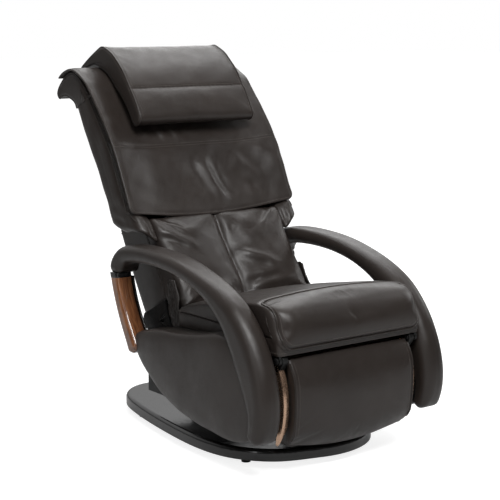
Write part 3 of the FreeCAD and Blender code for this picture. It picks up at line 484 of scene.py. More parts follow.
class Nodes:
    """The node tree of a material or world, built one node at a time."""

    def __init__(self, block):
        block.use_nodes = True
        self.tree = block.node_tree
        self.bsdf = self.tree.nodes.get("Principled BSDF")
        self.place = self.add("ShaderNodeTexCoord").outputs["Object"]

    def add(self, kind, inputs=None, **settings):
        made = self.tree.nodes.new(kind)
        for key, value in settings.items():
            setattr(made, key, value)
        for key, value in (inputs or {}).items():
            if isinstance(value, bpy.types.NodeSocket):
                self.tree.links.new(value, made.inputs[key])
            else:
                made.inputs[key].default_value = value
        return made

    def link(self, socket, key):
        self.tree.links.new(socket, self.bsdf.inputs[key])

    def fixed(self, **values):
        """Sets inputs of the surface to constant values."""
        for key, value in values.items():
            self.bsdf.inputs[key.replace("_", " ")].default_value = value

    def scaled(self, scale, turn=(0, 0, 0)):
        given = {"Vector": self.place, "Scale": scale, "Rotation": turn}
        return self.add("ShaderNodeMapping", given).outputs[0]

    def wave(self, scale, **settings):
        given = {"Vector": self.scaled(scale), "Scale": 1.0}
        return self.add("ShaderNodeTexWave", given, **settings)

    def noise(self, scale, detail=3.0, vector=None, **inputs):
        given = {"Vector": vector or self.place, "Scale": scale, "Detail": detail, **inputs}
        return self.add("ShaderNodeTexNoise", given).outputs["Fac"]

    def ramp(self, fac, *stops):
        made = self.add("ShaderNodeValToRGB", {"Fac": fac})
        ramp = made.color_ramp
        while len(ramp.elements) < len(stops):
            ramp.elements.new(0.5)
        for element, (place, value) in zip(ramp.elements, stops):
            element.position = place
            element.color = (*value, 1) if isinstance(value, tuple) else (value, value, value, 1)
        return made.outputs["Color"]

    def math(self, operation, a, b):
        return self.add("ShaderNodeMath", {0: a, 1: b}, operation=operation).outputs[0]

    def mix(self, fac, a, b):
        """A mix of two colours."""
        a, b = (value if isinstance(value, bpy.types.NodeSocket) else (*value, 1) for value in (a, b))
        return self.add("ShaderNodeMix", {0: fac, 6: a, 7: b}, data_type="RGBA").outputs[2]

    def between(self, fac, a, b):
        """A mix of two numbers."""
        return self.add("ShaderNodeMix", {0: fac, 2: a, 3: b}, data_type="FLOAT").outputs[0]

    def fade(self, value, start, end, low, high):
        """A number that goes smoothly from low to high as another goes from start to end."""
        given = {"Value": value, "From Min": start, "From Max": end, "To Min": low, "To Max": high}
        return self.add("ShaderNodeMapRange", given, interpolation_type="SMOOTHSTEP").outputs[0]

    def bump(self, *heights):
        """Bump layers as (height socket, depth in metres), the first one under the others."""
        normal = None
        for socket, distance in heights:
            given = {"Height": socket, "Distance": distance, "Strength": 1.0}
            if normal is not None:
                given["Normal"] = normal
            normal = self.add("ShaderNodeBump", given).outputs[0]
        self.link(normal, "Normal")


def shaded(tone, share):
    return tuple(min(1.0, c * share) for c in tone)


def leather(name, tone, rough):
    material = bpy.data.materials.new(name)
    n = Nodes(material)
    patchy = n.noise(5.0, 4.0)
    worn = n.noise(38.0, 5.0)
    colour = n.ramp(patchy, (0.3, shaded(tone, 0.86)), (0.7, shaded(tone, 1.14)))
    # Convex edges are painted lighter: a painted highlight where rounded edges catch the light.
    edge_highlight = n.ramp(n.add("ShaderNodeNewGeometry").outputs["Pointiness"], (0.5, 0.0), (0.62, 1.0))
    n.link(n.mix(n.math("MULTIPLY", edge_highlight, 0.35), colour, shaded(tone, 1.5)), "Base Color")
    n.link(n.ramp(worn, (0.3, rough - 0.04), (0.7, rough + 0.07)), "Roughness")
    pebbles = n.add("ShaderNodeTexVoronoi", {"Vector": n.place, "Scale": 620.0, "Randomness": 0.95},
                    feature="DISTANCE_TO_EDGE").outputs["Distance"]
    creases = n.ramp(pebbles, (0.0, 0.0), (0.16, 1.0))
    pores = n.noise(1500.0, 3.0)
    slack = n.noise(21.0, 3.0, Distortion=0.6)
    n.bump((slack, 0.0006), (creases, 0.00005), (pores, 0.00003))
    n.fixed(Specular_IOR_Level=LEATHER_GLOSS)
    return material


def walnut(name):
    material = bpy.data.materials.new(name)
    n = Nodes(material)
    swirl = n.noise(1.0, 6.0, n.scaled((90.0, 14.0, 9.0), (0.25, 0.0, 0.0)), Distortion=1.1)
    fine = n.noise(1.0, 8.0, n.scaled((900.0, 60.0, 30.0), (0.25, 0.0, 0.0)))
    colour = n.ramp(swirl, (0.28, (0.06, 0.02, 0.008)), (0.46, (0.17, 0.064, 0.025)),
                    (0.62, (0.26, 0.108, 0.044)), (0.8, (0.12, 0.045, 0.018)))
    pores = n.ramp(fine, (0.35, 0.0), (0.55, 1.0))
    dark = n.math("MULTIPLY", n.math("SUBTRACT", 1.0, pores), 0.5)
    n.link(n.mix(dark, colour, (0.04, 0.016, 0.008)), "Base Color")
    n.link(n.ramp(swirl, (0.2, 0.3), (0.8, 0.42)), "Roughness")
    n.bump((pores, 0.00002))
    n.fixed(Specular_IOR_Level=0.2, Coat_Weight=1.0, Coat_Roughness=0.05)
    return material


def moulded(name, tone, rough, texture=0.00005, scale=900.0, metallic=0.0, gloss=0.5):
    """Moulded, cast or coated surfaces: a fine texture, uneven sheen and faint scuffs."""
    material = bpy.data.materials.new(name)
    n = Nodes(material)
    scuffs = n.noise(60.0, 6.0, Distortion=1.2)
    dust = n.noise(7.0, 4.0)
    n.link(n.ramp(dust, (0.35, shaded(tone, 0.9)), (0.65, shaded(tone, 1.1))), "Base Color")
    n.link(n.ramp(scuffs, (0.3, rough - 0.05), (0.7, rough + 0.07)), "Roughness")
    n.bump((n.noise(scale, 2.0), texture))
    n.fixed(Metallic=metallic, Specular_IOR_Level=gloss)
    return material


def plywood(name):
    material = bpy.data.materials.new(name)
    n = Nodes(material)
    wave = n.wave((0.0, 0.0, 260.0), bands_direction="Z")
    wave.inputs["Distortion"].default_value = 0.4
    grain = n.noise(1.0, 6.0, n.scaled((220.0, 12.0, 40.0)))
    tone = n.ramp(grain, (0.3, (0.42, 0.3, 0.18)), (0.7, (0.56, 0.42, 0.27)))
    plies = n.math("MULTIPLY", wave.outputs["Fac"], 0.35)
    n.link(n.mix(plies, tone, (0.3, 0.2, 0.11)), "Base Color")
    n.fixed(Roughness=0.7)
    n.bump((grain, 0.0001))
    return material


def woven(name, tone):
    material = bpy.data.materials.new(name)
    n = Nodes(material)
    warp = n.wave((900.0, 0.0, 0.0)).outputs["Fac"]
    weft = n.wave((0.0, 0.0, 900.0), bands_direction="Z").outputs["Fac"]
    weave = n.math("MULTIPLY", warp, weft)
    n.link(n.ramp(weave, (0.1, shaded(tone, 0.6)), (0.8, tone)), "Base Color")
    n.fixed(Roughness=0.9)
    n.bump((weave, 0.0002))
    return material


LEATHER_GLOSS = 0.34
LEATHER = leather("espresso_leather", (0.0213, 0.0166, 0.0143), 0.37)
THREAD = moulded("thread", (0.11, 0.092, 0.082), 0.6, 0.0001, 3000.0)
WALNUT = walnut("walnut_lacquer")
BRONZE = moulded("polished_bronze", (0.5, 0.33, 0.23), 0.26, 0.00001, metallic=0.9)
BASE = moulded("base_gloss", (0.006, 0.0055, 0.0052), 0.17, 0.00001, 300.0)
GLOSS_BLACK = moulded("gloss_black", (0.006, 0.006, 0.006), 0.12, 0.00001)
BLACK = moulded("black_plastic", (0.008, 0.008, 0.008), 0.55, gloss=0.12)
NYLON = moulded("natural_nylon", (0.6, 0.57, 0.5), 0.45)
COATED = moulded("black_powder_coat", (0.008, 0.008, 0.008), 0.45, 0.00008, 1400.0, gloss=0.25)
ZINC = moulded("zinc_plate", (0.55, 0.55, 0.56), 0.32, 0.00002, metallic=1.0)
CAST = moulded("cast_aluminium", (0.52, 0.52, 0.53), 0.45, 0.0001, 700.0, metallic=1.0)
RUBBER = moulded("rubber", (0.014, 0.014, 0.014), 0.75)
PLY = plywood("plywood")
LINING = woven("lining", (0.022, 0.022, 0.022))

SLOT_MATERIALS = {"leather": LEATHER, "padding": LEATHER, "wood": WALNUT, "board": PLY, "bronze": BRONZE,
                  "base_shell": BASE, "plastic": BLACK, "nylon": NYLON, "steel_black": COATED, "steel": ZINC,
                  "aluminium": CAST, "rubber": RUBBER, "cloth": LINING}


def paint(obj, material):
    obj.data.materials.clear()
    obj.data.materials.append(material)
    return obj


def paint_frame():
    for part in frame["record"]["subparts"]:
        obj = frame["nodes"][part["node"]]
        material = SLOT_MATERIALS[part["material_slot"]]
        for i in range(len(obj.material_slots)):
            obj.material_slots[i].material = material


paint_frame()


# Arms

ARM_STATIONS = (
    # y, z of the centre, direction of the band in degrees from +Y, thickness, corner radius
    (229, 470, 90, 54, 16), (221, 500, 115, 57, 21), (187, 527, 152, 53, 23), (118, 538, 178, 49, 22),
    (22, 539, 184, 46, 21), (-75, 530, 192, 46, 21), (-166, 509, 203, 50, 23), (-252, 475, 215, 66, 28),
    (-320, 430, 234, 88, 32), (-374, 366, 246, 104, 34), (-412, 298, 252, 106, 34),
    (-436, 238, 261, 96, 34), (-446, 188, 272, 80, 32), (-442, 146, 288, 66, 28), (-431, 114, 298, 48, 20))


def rounded_ring(half_w, half_h, radius, per_corner=7, per_side=6):
    """A rounded rectangle as (u, v) points, starting at the middle of its right side."""
    out = []
    for su, sv, start in ((1, 1, 0), (-1, 1, 90), (-1, -1, 180), (1, -1, 270)):
        for k in range(per_corner):
            turn = math.radians(start + 90 * k / (per_corner - 1))
            out.append((su * (half_w - radius) + radius * math.cos(turn),
                        sv * (half_h - radius) + radius * math.sin(turn)))
    full = []
    for k, (u, v) in enumerate(out):
        full.append((u, v))
        if k % per_corner == per_corner - 1:
            nu, nv = out[(k + 1) % len(out)]
            full += [(u + (nu - u) * i / per_side, v + (nv - v) * i / per_side) for i in range(1, per_side)]
    return np.roll(np.array(full), per_side // 2, 0)


def band_ring(x, v, row):
    """A ring of points across (x) and through the thickness (v) of a band, at one of its stations."""
    y, z, angle = row[:3]
    turn = math.radians(angle)
    return chair(np.stack((x, y + v * math.sin(turn), z - v * math.cos(turn)), -1))


def arm(side):
    name = "arm_pad_" + hand(side)
    low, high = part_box(name)
    mid_x = (low.x + high.x) / 2 / MM
    half_w = (high.x - low.x) / 2 / MM
    rows = spline(ARM_STATIONS, 110)
    rings = []
    for k, row in enumerate(rows):
        end = min(k, len(rows) - 1 - k)
        pull = 9.0 * (1 - min(1.0, end / 4.0)) ** 2
        ring = rounded_ring(half_w - pull, row[3] / 2 - pull, max(4.0, row[4] - pull))
        rings.append(band_ring(mid_x + ring[:, 0], ring[:, 1], row))
    upholstery(loft(name + "_upholstery", rings), "chassis", name)


WOOD_STATIONS = (
    # y, z of the centre, direction of the band in degrees from +Y, thickness
    (130, 251, 58, 47), (152, 289, 60, 45), (180, 337, 66, 43), (203, 385, 72, 42), (219, 430, 79, 43),
    (229, 470, 88, 45))
WOOD_X = (283.0, 337.0)
WOOD_R = 13.0               # of its edges
WOOD_TOP = 459.0
COLLAR = (
    # height, how far the collar stands out from the wood
    (455, -2.0), (455.6, 0.0), (456.6, 0.5), (460, 0.6), (468, 0.6), (471, 0.5))


def wood_ring(side, row, span, radius, grown=0.0):
    half_w = (span[1] - span[0]) / 2 + grown
    ring = rounded_ring(half_w, row[3] / 2 + grown, radius, 9, 6)
    return band_ring(side * (sum(span) / 2 + ring[:, 0]), ring[:, 1], row)


def wood_accent(side):
    """The lacquered upright behind the arm, its black collar under the arm and a black strip along its inner edge,
    which is painted shade where that side lies in shadow.
    """
    rows = spline(WOOD_STATIONS, 80)
    span = [row for row in rows if row[1] < WOOD_TOP]
    rings = []
    for k, row in enumerate(span):
        rings.append(wood_ring(side, row, WOOD_X, WOOD_R, -7.0 * (1 - min(1.0, k / 5)) ** 2))
    wood = loft("wood_accent_" + hand(side), rings)
    upholstery(wood, "chassis", "wood_accents", slot="wood", material=WALNUT)
    collar = []
    for z, grown in COLLAR:
        row = [float(np.interp(z, rows[:, 1], column)) for column in rows.T]
        collar.append(wood_ring(side, row, WOOD_X, WOOD_R, grown))
    # A gloss black strip along the wood's inner edge: painted shade for the shadow on that side.
    edge = [wood_ring(side, row + (0, 0, 0, 5.0), (WOOD_X[0] - 4.0, WOOD_X[0] + 1.5), 2.4) for row in span]
    for name, rings in (("wood_collar_", collar), ("wood_shade_strip_", edge)):
        trim(loft(name + hand(side), rings), "chassis", "plastic", GLOSS_BLACK)


# Seat

SEAT_PROFILE = (
    # y, z round the cushion and its front roll, from the rear of its underside
    (0, 379), (5, 388), (-2, 397), (-34, 406), (-105, 423), (-184, 437), (-260, 451), (-335, 464),
    (-385, 466), (-418, 462), (-443, 450), (-459, 430), (-466, 405), (-467, 380), (-465, 362), (-461, 351),
    (-457, 347.5), (-453.4, 351), (-452.8, 362), (-452.8, 378), (-440, 379), (-200, 379))
SEAT_FRONT = -467.0
SEAT_KNEE = -340.0          # where the top starts to roll over the front
SEAM_RISE = 352.0           # of the panel's lower seam above the floor
PANEL_HALF = 246.0          # of the piped panel on the seat and its roll, and the radius of its corners
PANEL_R = 36.0
SEAT_TOP = 450.0            # a height above every fold
SEAT_FOLDS = (
    # path of (x, y) points from above, rise, width
    (((-40, -8), (60, -26), (190, -12)), 4.0, 14), (((-150, -10), (-30, -34), (60, -20)), 3.0, 12),
    (((20, -46), (120, -60), (215, -40)), 2.2, 16), (((-226, -60), (-150, -90), (-60, -80)), 1.6, 22))


def seat_ring(x, pull):
    """Rounded front corners, a crowned top and lower corners that are drawn up."""
    outline = inset(even(SEAT_PROFILE, 150, closed=True), pull)
    y, z = outline[:, 0].copy(), outline[:, 1].copy()
    radius = 30 + 27 * smooth((z - 372) / 40)
    over = np.clip(np.abs(x) - (SEAT_HALF - radius), 0, radius)
    corner = radius - np.sqrt(radius ** 2 - over ** 2)
    y += corner * np.clip((SEAT_KNEE - y) / (SEAT_KNEE - SEAT_FRONT), 0, 1)
    crown = 9 * (1 - (x / SEAT_HALF) ** 2)
    z += np.where(z > 384, crown * smooth((z - 384) / 30), 0)
    z += 14 * np.clip((abs(x) - 222) / 33, 0, 1) ** 2 * smooth((372 - z) / 20)
    return across(chair, x, np.stack((y, z), -1))


def seat():
    rows = stations(SEAT_HALF, 9.0, 6.0)
    body = Body([seat_ring(x, pull) for x, pull in rows])
    y = body.rings[:, :, 1] / MM - SWIVEL[1] / MM
    z = body.rings[:, :, 2] / MM
    under = np.maximum(smooth((392 - z) / 10) * (y > -430), smooth((358 - z) / 8))
    ends = np.abs(body.rings[:, :, 0]) / MM > SEAT_HALF - 6
    body.inflate(np.maximum(under, ends * 0.9), cap=7.0)
    _, y, z = body.rings[len(rows) // 2].T
    top_i = int(np.argmin(np.abs(y - chair((0, -352, 0))[1]) + (z < 0.42)))
    low_i = int(np.argmin(np.abs(z - SEAM_RISE * MM) + (y > chair((0, -458, 0))[1])))
    span = (low_i - top_i) % len(y)
    probe = probed(body)
    loop = panel_loop(body, PANEL_HALF, top_i, top_i + span, PANEL_R)
    crease_loop(body, loop, 4.5, 5.5)
    for path, height, width in SEAT_FOLDS:
        points = even(chair([(x, y, SEAT_TOP) for x, y in path]), 24)
        body.fold(dropped(probe, points, (0, 0, -1)), height, width, facing=(0, 0, 1))
    obj = body.build("seat_upholstery", 1)
    upholstery(obj, "chassis", "seat_cushion")
    piping("seat_piping", "chassis", settled(obj, loop, 1.4), 2.6, closed=True)
    inner = panel_loop(body, PANEL_HALF - 7, top_i + 2, top_i + span - 2, PANEL_R - 4)
    stitches("seat_stitches", "chassis", settled(obj, inner), obj, closed=True)


def panel_loop(body, half_x, first, last, corner):
    """A rounded rectangle on a grid: between two places across and two places round the rings."""
    ring = body.rings[len(body.rings) // 2]
    places = np.arange(first, last + 1)
    reach = reach_of(ring[places % len(ring)]) / MM
    half_v = reach[-1] / 2
    loop = rounded_ring(half_x, half_v, corner, 10, 40)
    r = np.interp(loop[:, 0] * MM, body.rings[:, :, 0].mean(axis=1), np.arange(len(body.rings)))
    return body.at(r, np.interp(loop[:, 1] + half_v, reach, places))


def crease_loop(body, loop, depth, width):
    """Sinks a seam along a closed path."""
    points = body.rings.reshape(-1, 3)
    line = even(loop, 300, closed=True)
    reach = np.linalg.norm(points[:, None] - line[None], axis=2).min(axis=1) / MM
    body.raised(-depth * MM * np.exp(-(reach / width) ** 2))


def settled(obj, path, lift=0.0):
    """A path moved onto an object's surface, and a little above it."""
    tree = surface_of(obj)
    out = []
    for p in path:
        place, normal, _, _ = tree.find_nearest(Vector(p))
        out.append(tuple(place + normal * lift * MM))
    return np.array(out)


def surface_normals(obj, path):
    tree = surface_of(obj)
    return np.array([tuple(tree.find_nearest(Vector(p))[1]) for p in path])


APRON_OUT = 253.0
APRON_Y = (-452.0, 18.0)
APRON_Z = (335.4, 380.6)
APRON_CORNER = 14.0


def apron():
    """The upholstered frame under the seat cushion: a padded band with rounded corners and a sewn edge."""
    middle = (0, sum(APRON_Y) / 2)
    plan = rounded_ring(APRON_OUT, (APRON_Y[1] - APRON_Y[0]) / 2, APRON_CORNER, 9, 60)
    run = np.roll(plan, -1, 0) - np.roll(plan, 1, 0)
    out = unit(np.stack((run[:, 1], -run[:, 0]), -1))
    low, high = APRON_Z
    section = rounded_ring(3.0, (high - low) / 2, 2.8, 6, 10)
    rise = section[:, 1] / (high - low) * 2
    puff = 1.6 * (1 - rise ** 2) - 0.8 * np.exp(-((rise + 0.7) / 0.08) ** 2)
    face = section[:, 0] - 3.0 + np.where(section[:, 0] > 0, puff, 0)
    rings = []
    for place, way in zip(plan, out):
        p = place + way * face[:, None] + middle
        rings.append(chair(np.column_stack((p, section[:, 1] + (low + high) / 2))))
    rings.append(rings[0])
    obj = loft("seat_apron_upholstery", rings, caps=False)
    upholstery(obj, "chassis", "seat_apron", slot="leather")
    path = settled(obj, level(chair, plan + out * 0.9 + middle, low + 9.5))
    stitches("seat_apron_stitches", "chassis", np.vstack((path, path[:1])), obj)


# Back: waist cushion, wings, head roll, zip-on pad and pillow

WAIST_SIDE = (
    # height, depth of the front at the cushion's sides
    (15, -116), (60, -115), (106, -112), (165, -106), (225, -99), (258, -101), (290, -94), (306, -84))
WAIST_SEAM = (
    # the same at its centre seam
    (15, -90), (45, -92), (82, -98), (126, -90), (180, -79), (244, -70), (306, -68))
WAIST_FOLDS = (
    # path of (x, height) points, rise, width on its left, width on its right
    (((6, 180), (49, 157), (104, 131), (170, 100)), 7.0, 22, 13),
    (((14, 148), (60, 128), (120, 100)), -3.0, 13, 16),
    (((30, 196), (88, 213), (166, 232), (214, 240)), 3.5, 24, 20),
    (((4, 44), (74, 53), (161, 59), (214, 70)), 5.0, 13, 12),
    (((10, 66), (70, 68), (140, 76)), -2.5, 12, 11),
    (((0, 94), (60, 88), (110, 88), (170, 93)), 3.0, 16, 14),
    (((-234, 262), (-200, 246), (-160, 218), (-110, 186)), 6.0, 10, 16),
    (((-228, 240), (-190, 216), (-150, 190)), -3.0, 9, 12),
    (((-236, 284), (-170, 262), (-90, 240), (-30, 236)), 3.0, 15, 22),
    (((-14, 150), (-60, 128), (-130, 118)), 2.0, 20, 24),
    (((-8, 60), (-50, 66), (-120, 50), (-200, 58)), 3.0, 14, 15))


def waist_ring(x, pull):
    """Front line from the bottom up, then back down along the shell."""
    rise = np.linspace(16 + pull * 0.6, 305 - pull * 0.4, 14)
    valley = 0.4 * np.exp(-(x / 13) ** 2) + 0.3 * np.exp(-(x / 90) ** 2)
    side = along(WAIST_SIDE, rise)
    front = side + (along(WAIST_SEAM, rise) - side) * valley + pull
    bow = np.sin(np.clip(np.abs(x) / WAIST_HALF, 0, 1) * math.pi)
    puff = 5 * bow * np.sin((rise - 15) / 290 * math.pi)
    rear = WAIST_REAR - 0.2
    outline = list(zip(front - puff, rise)) + [(-62, 310), (rear, 310), (rear, 170), (rear, 32), (-70, 12)]
    ring = even(outline, 130, closed=True)
    ring[:, 0] = np.minimum(ring[:, 0], WAIST_REAR)
    return across(back, x, ring)


def waist():
    body = Body([waist_ring(x, pull) for x, pull in stations(WAIST_HALF + 2, 14.0, 5.0)])
    x = np.abs(body.rings[:, :, 0]) / MM
    depth = ((body.rings - HINGE) @ DEEP) / MM
    body.inflate(np.maximum(smooth((depth + 60) / 10), np.exp(-(x / 7) ** 2)), cap=9.0)
    probe = probed(body)
    facing = -DEEP
    for path, rise, wide, far in WAIST_FOLDS:
        body.fold(on_back(probe, path), rise, wide, far, facing=facing)
    heights = (240, 170, 100)
    seam = on_back(probe, [(0, s) for s in (304, *heights, 30)])
    body.fold(seam, -5.0, 5.0, ends=0.02, facing=facing)
    body.ripple(0.8, 70, 3, facing)
    obj = body.build("waist_upholstery", 1)
    upholstery(obj, "backrest", "waist_cushion")
    for x in (-5, 5):
        path = on_back(surface_of(obj), [(x, s) for s in (303, *heights, 34)])
        stitches("waist_stitches_%d" % (x > 0), "backrest", path, facing)


SHELL_T = 5.0
SHELL_FRONT = -45.8
SHELL_REAR = 103.0
SHELL_SPAN = (68.0, 345.0)
SHELL_CORNER = 26.0
SHELL_EDGE = 13.0           # radius of its lower edge


def shell_section(pull, crown):
    """The shell's wall in plan, open at the front, as (x, depth): outside, then back along the inside."""
    walls = []
    for wall in (0.0, SHELL_T):
        radius = SHELL_CORNER - wall
        half = WAIST_HALF - pull - wall
        rear = SHELL_REAR - pull - wall
        turn = np.radians(np.linspace(0, 90, 9))
        corner = np.column_stack((np.cos(turn), np.sin(turn))) * radius + (half - radius, rear - radius)
        side = np.column_stack((np.full(14, half), np.linspace(SHELL_FRONT, rear - radius, 14)))
        middle = np.column_stack((np.linspace(half - radius, 0, 33), np.full(33, rear)))
        path = np.vstack((side, corner[1:], middle[1:]))
        path[:, 1] += crown * smooth((path[:, 1] - 20) / 70) * (1 - (path[:, 0] / 260) ** 4)
        walls.append(np.vstack((path, (path * (-1, 1))[-2::-1])))
    return np.vstack((walls[0], walls[1][::-1]))


def shell_wall():
    low, high = SHELL_SPAN
    heights = [low + SHELL_EDGE * (1 - math.cos(t)) for t in np.radians(np.linspace(0, 90, 8))]
    heights += list(np.arange(low + SHELL_EDGE + 6, high - 4, 7.0)) + [high - 3, high - 1, high]
    rings = []
    for s in heights:
        below = max(0.0, 1 - (s - low) / SHELL_EDGE)
        above = max(0.0, 1 - (high - s) / 3)
        pull = SHELL_EDGE * (1 - math.sqrt(1 - below ** 2)) + 1.2 * above ** 2
        share = min(1.0, max(0.0, (s - low + 30) / (high - low + 20)))
        rings.append(level(back, shell_section(pull, 11 * math.sin(math.pi * share) ** 0.7), s))
    return loft("waist_shell_wall", rings)


def shell_floor():
    low = SHELL_SPAN[0]
    half, rear = WAIST_HALF - SHELL_EDGE, SHELL_REAR - SHELL_EDGE + 3
    plan = rounded_ring(half, (rear - SHELL_FRONT) / 2, 18, 7, 12) + (0, (rear + SHELL_FRONT) / 2)
    rings = []
    for s, share in ((low, 0.9), (low, 0.0), (low + 4, 0.0), (low + 4, 0.9)):
        rings.append(level(back, plan * (1 - share) + (0, share * 20), s))
    return loft("waist_shell_floor", rings)


def shell_lid():
    depth = np.linspace(31.0, SHELL_REAR - SHELL_T - 0.5, 24)
    share = (depth - depth[0]) / (depth[-1] - depth[0])
    rings = []
    for x, tuck in stations(WAIST_HALF - SHELL_T - 0.5, 3.0, 8.0):
        crown = 4 * (1 - (x / WAIST_HALF) ** 4) * np.sin(math.pi * share)
        rise = SHELL_SPAN[1] - 2 - 7 * share + crown - tuck * 0.4
        top = np.column_stack((depth, rise))
        rings.append(across(back, x, np.vstack((top, (top - (0, 3))[::-1]))))
    return loft("waist_shell_lid", rings)


def waist_shell():
    """The leather-covered shell behind the waist cushion, with a welt down each side of its mouth."""
    obj = joined("waist_shell_upholstery", (shell_wall(), shell_floor(), shell_lid()))
    upholstery(obj, "backrest", "waist_shell", slot="leather")
    heights = np.linspace(SHELL_SPAN[0] + 14, SHELL_SPAN[1] - 4, 50)
    for side in (-1, 1):
        path = back([(side * (WAIST_HALF + 0.4), SHELL_FRONT + 1, s) for s in heights])
        piping("waist_shell_welt_%d" % (side > 0), "backrest", path, 2.4)
        path = settled(obj, back([(side * WAIST_HALF, SHELL_FRONT + 9, s) for s in heights]))
        stitches("waist_shell_stitches_%d" % (side > 0), "backrest", path, ACROSS * side)


GUSSET_REAR = ((-57, -42), (-54, 0), (-57, 45), (-70, 87), (-82, 116))
GUSSET_FRONT = ((-92, -38), (-104, 13), (-110, 41), (-111, 72), (-112, 106))
GUSSET_IN = 246.0


def gusset(side):
    """Gathered leather between the waist cushion's side and the seat, across the recline hinge."""
    u = np.linspace(-1, 1, 41)
    share = (u[:, None] + 1) / 2
    rings = []
    places = np.linspace(0, 1, 120)
    for t, rear, front in zip(places, even(GUSSET_REAR, 120), even(GUSSET_FRONT, 120)):
        pinch = 0.5 * (1 - math.cos(2 * math.pi * min(1.0, t / 0.9)))
        pleats = np.cos(2 * math.pi * (1.9 * u + 0.7 * t + 0.1 * math.sin(9 * t)))
        pleats = pleats + 0.6 * np.cos(2 * math.pi * (3.3 * u - 1.6 * t) + 1.0)
        pleats = pleats + 0.35 * np.cos(2 * math.pi * (7 * t + 0.6 * u))
        full = np.sqrt(1 - u ** 2) * (8.5 + (1.6 + 1.4 * pinch) * pleats)
        taper = float(smooth(t / 0.03) * smooth((1 - t) / 0.06))
        inner = GUSSET_IN - 9.5 * float(smooth((t - 0.36) / 0.3))
        place = rear + (front - rear) * (0.5 + (share - 0.5) * (0.75 + 0.25 * taper))
        outer = np.column_stack((side * (inner + 1.0 + full * taper), place))
        rings.append(np.vstack((back(outer), across(back, side * inner, place[::-1]))))
    obj = paint(loft("waist_gusset_" + hand(side), rings), LEATHER)
    tuple(back((0, -78, -22)))
    tuple(back((0, -92, 62)))
    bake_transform(obj)


BRIDGE_LINE = ((15, 372), (24, 357), (38, 351), (53, 357), (64, 371))
BRIDGE_HALF = 228.0


def hinge_bridge():
    """The slack leather panel that closes the gap between the seat and the waist cushion."""
    line = even(BRIDGE_LINE, 30)
    run = np.gradient(line, axis=0)
    under = unit(np.stack((run[:, 1], -run[:, 0]), -1)) * 3.0
    outline = np.vstack((line, (line + under)[::-1]))
    rings = [across(chair, x, outline) for x, _ in stations(BRIDGE_HALF, 3.0, 12.0)]
    obj = paint(loft("hinge_bridge", rings), LEATHER)
    tuple(chair((0, 18, 364)))
    tuple(chair((0, 60, 364)))
    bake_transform(obj)


WING_FACE = ((251, -103), (286, -97), (306, -93), (330, -80), (350, -69), (435, -67), (544, -72), (611, -64),
             (668, -56), (730, -47.5))
WING_BACK = ((330, 34), (390, 31), (440, 30), (540, 31), (640, 37), (730, 36))
WING_HEM = ((36, 349), (16, 330), (-24, 294), (-62, 281), (-104, 252))
WING_FOLDS = (
    # path of (depth, height) points on its outer side, rise, width on its left, width on its right
    (((-84, 262), (-60, 292), (-20, 318), (20, 352)), 3.0, 9, 7),
    (((-70, 300), (-30, 345), (10, 380)), 2.0, 14, 10),
    (((-60, 420), (-20, 400), (20, 410)), 1.6, 20, 14),
    (((-40, 700), (-10, 640), (10, 560)), 1.5, 22, 18))
WING_FRONT_FOLDS = (
    # x, path of (depth, height) points at the lower front corner, rise, width
    (262, ((-98, 300), (-102, 275), (-98, 250)), 4.0, 12),
    (246, ((-90, 306), (-98, 270), (-88, 238)), -4.0, 8))


def wing_ring(share, side):
    """One section of a wing, share of the way from its slanted hem to its top."""
    height = BACK_TOP + 1
    front = float(along(WING_FACE, 250 + (height - 250) * share))
    rear = float(along(WING_BACK, 330 + (height - 330) * share))
    tuck = 8 * (1 - min(1.0, share / 0.03)) ** 2
    outer, inner = BACK_HALF - tuck, WING_IN - 1
    outline = ((inner, front + 12 + tuck), (inner + 20, front + 2 + tuck), (inner + 38, front + tuck),
               (outer - 11, front + 4 + tuck), (outer - 2, front + 17 + tuck), (outer, front + 40),
               (outer, (front + rear) / 2), (outer, rear - 24), (outer - 6, rear - 7 - tuck),
               (outer - 20, rear - tuck), (inner + 16, rear - tuck), (inner, rear - 6 - tuck),
               (inner, (front + rear) / 2))
    ring = even(outline, 96, closed=True)
    drop = smooth((BACK_HALF - 12 - ring[:, 0]) / 50) * smooth((-20 - ring[:, 1]) / 50)
    hem = along(WING_HEM, ring[:, 1]) - 34 * drop
    return back(np.column_stack((ring * (side, 1), hem + (height - hem) * share)))


def wing(side):
    name = "back_wing_" + hand(side)
    shares = np.concatenate((np.linspace(0, 0.03, 4), np.linspace(0.04, 1, 84)))
    body = Body([wing_ring(share, side) for share in shares])
    for path, rise, wide, far in WING_FOLDS:
        body.fold(across(back, side * BACK_HALF, path), rise, wide, far, facing=(side, 0, 0))
    for x, path, rise, wide in WING_FRONT_FOLDS:
        body.fold(across(back, side * x, path), rise, wide)
    body.ripple(0.8, 90, 5 + side)
    obj = body.build(name + "_upholstery")
    upholstery(obj, "backrest", name)
    edge = [(side * (BACK_HALF - 5), float(along(WING_FACE, s)) + 5, s) for s in np.linspace(300, 728, 60)]
    piping(name + "_piping", "backrest", settled(obj, back(edge), 0.6), 2.3)
    seam = [(side * BACK_HALF, float(along(WING_BACK, s)) - 20, s) for s in np.linspace(352, 722, 50)]
    stitches(name + "_stitches", "backrest", settled(obj, back(seam)), obj)


ROLL_OUTLINE = ((-47.5, 728), (-42, 762), (-30, 797), (-12, 826), (10, 840), (40, 846), (68, 844), (96, 836),
                (114, 820), (110, 803), (92, 801), (70, 792), (54, 776), (42, 756), (36, 728), (-5, 727))
CORNER_FRONT = ((38, 11, 2, 0), (0, 4, 17, 40))
CORNER_REAR = ((20, 6, 0), (0, 7, 24))


def rounding(x, corner):
    """How far a wing's outer corner is rounded away at a place across: distances in, and their depths."""
    distances, depths = corner
    return float(np.interp(abs(x), [BACK_HALF - d for d in distances], depths))


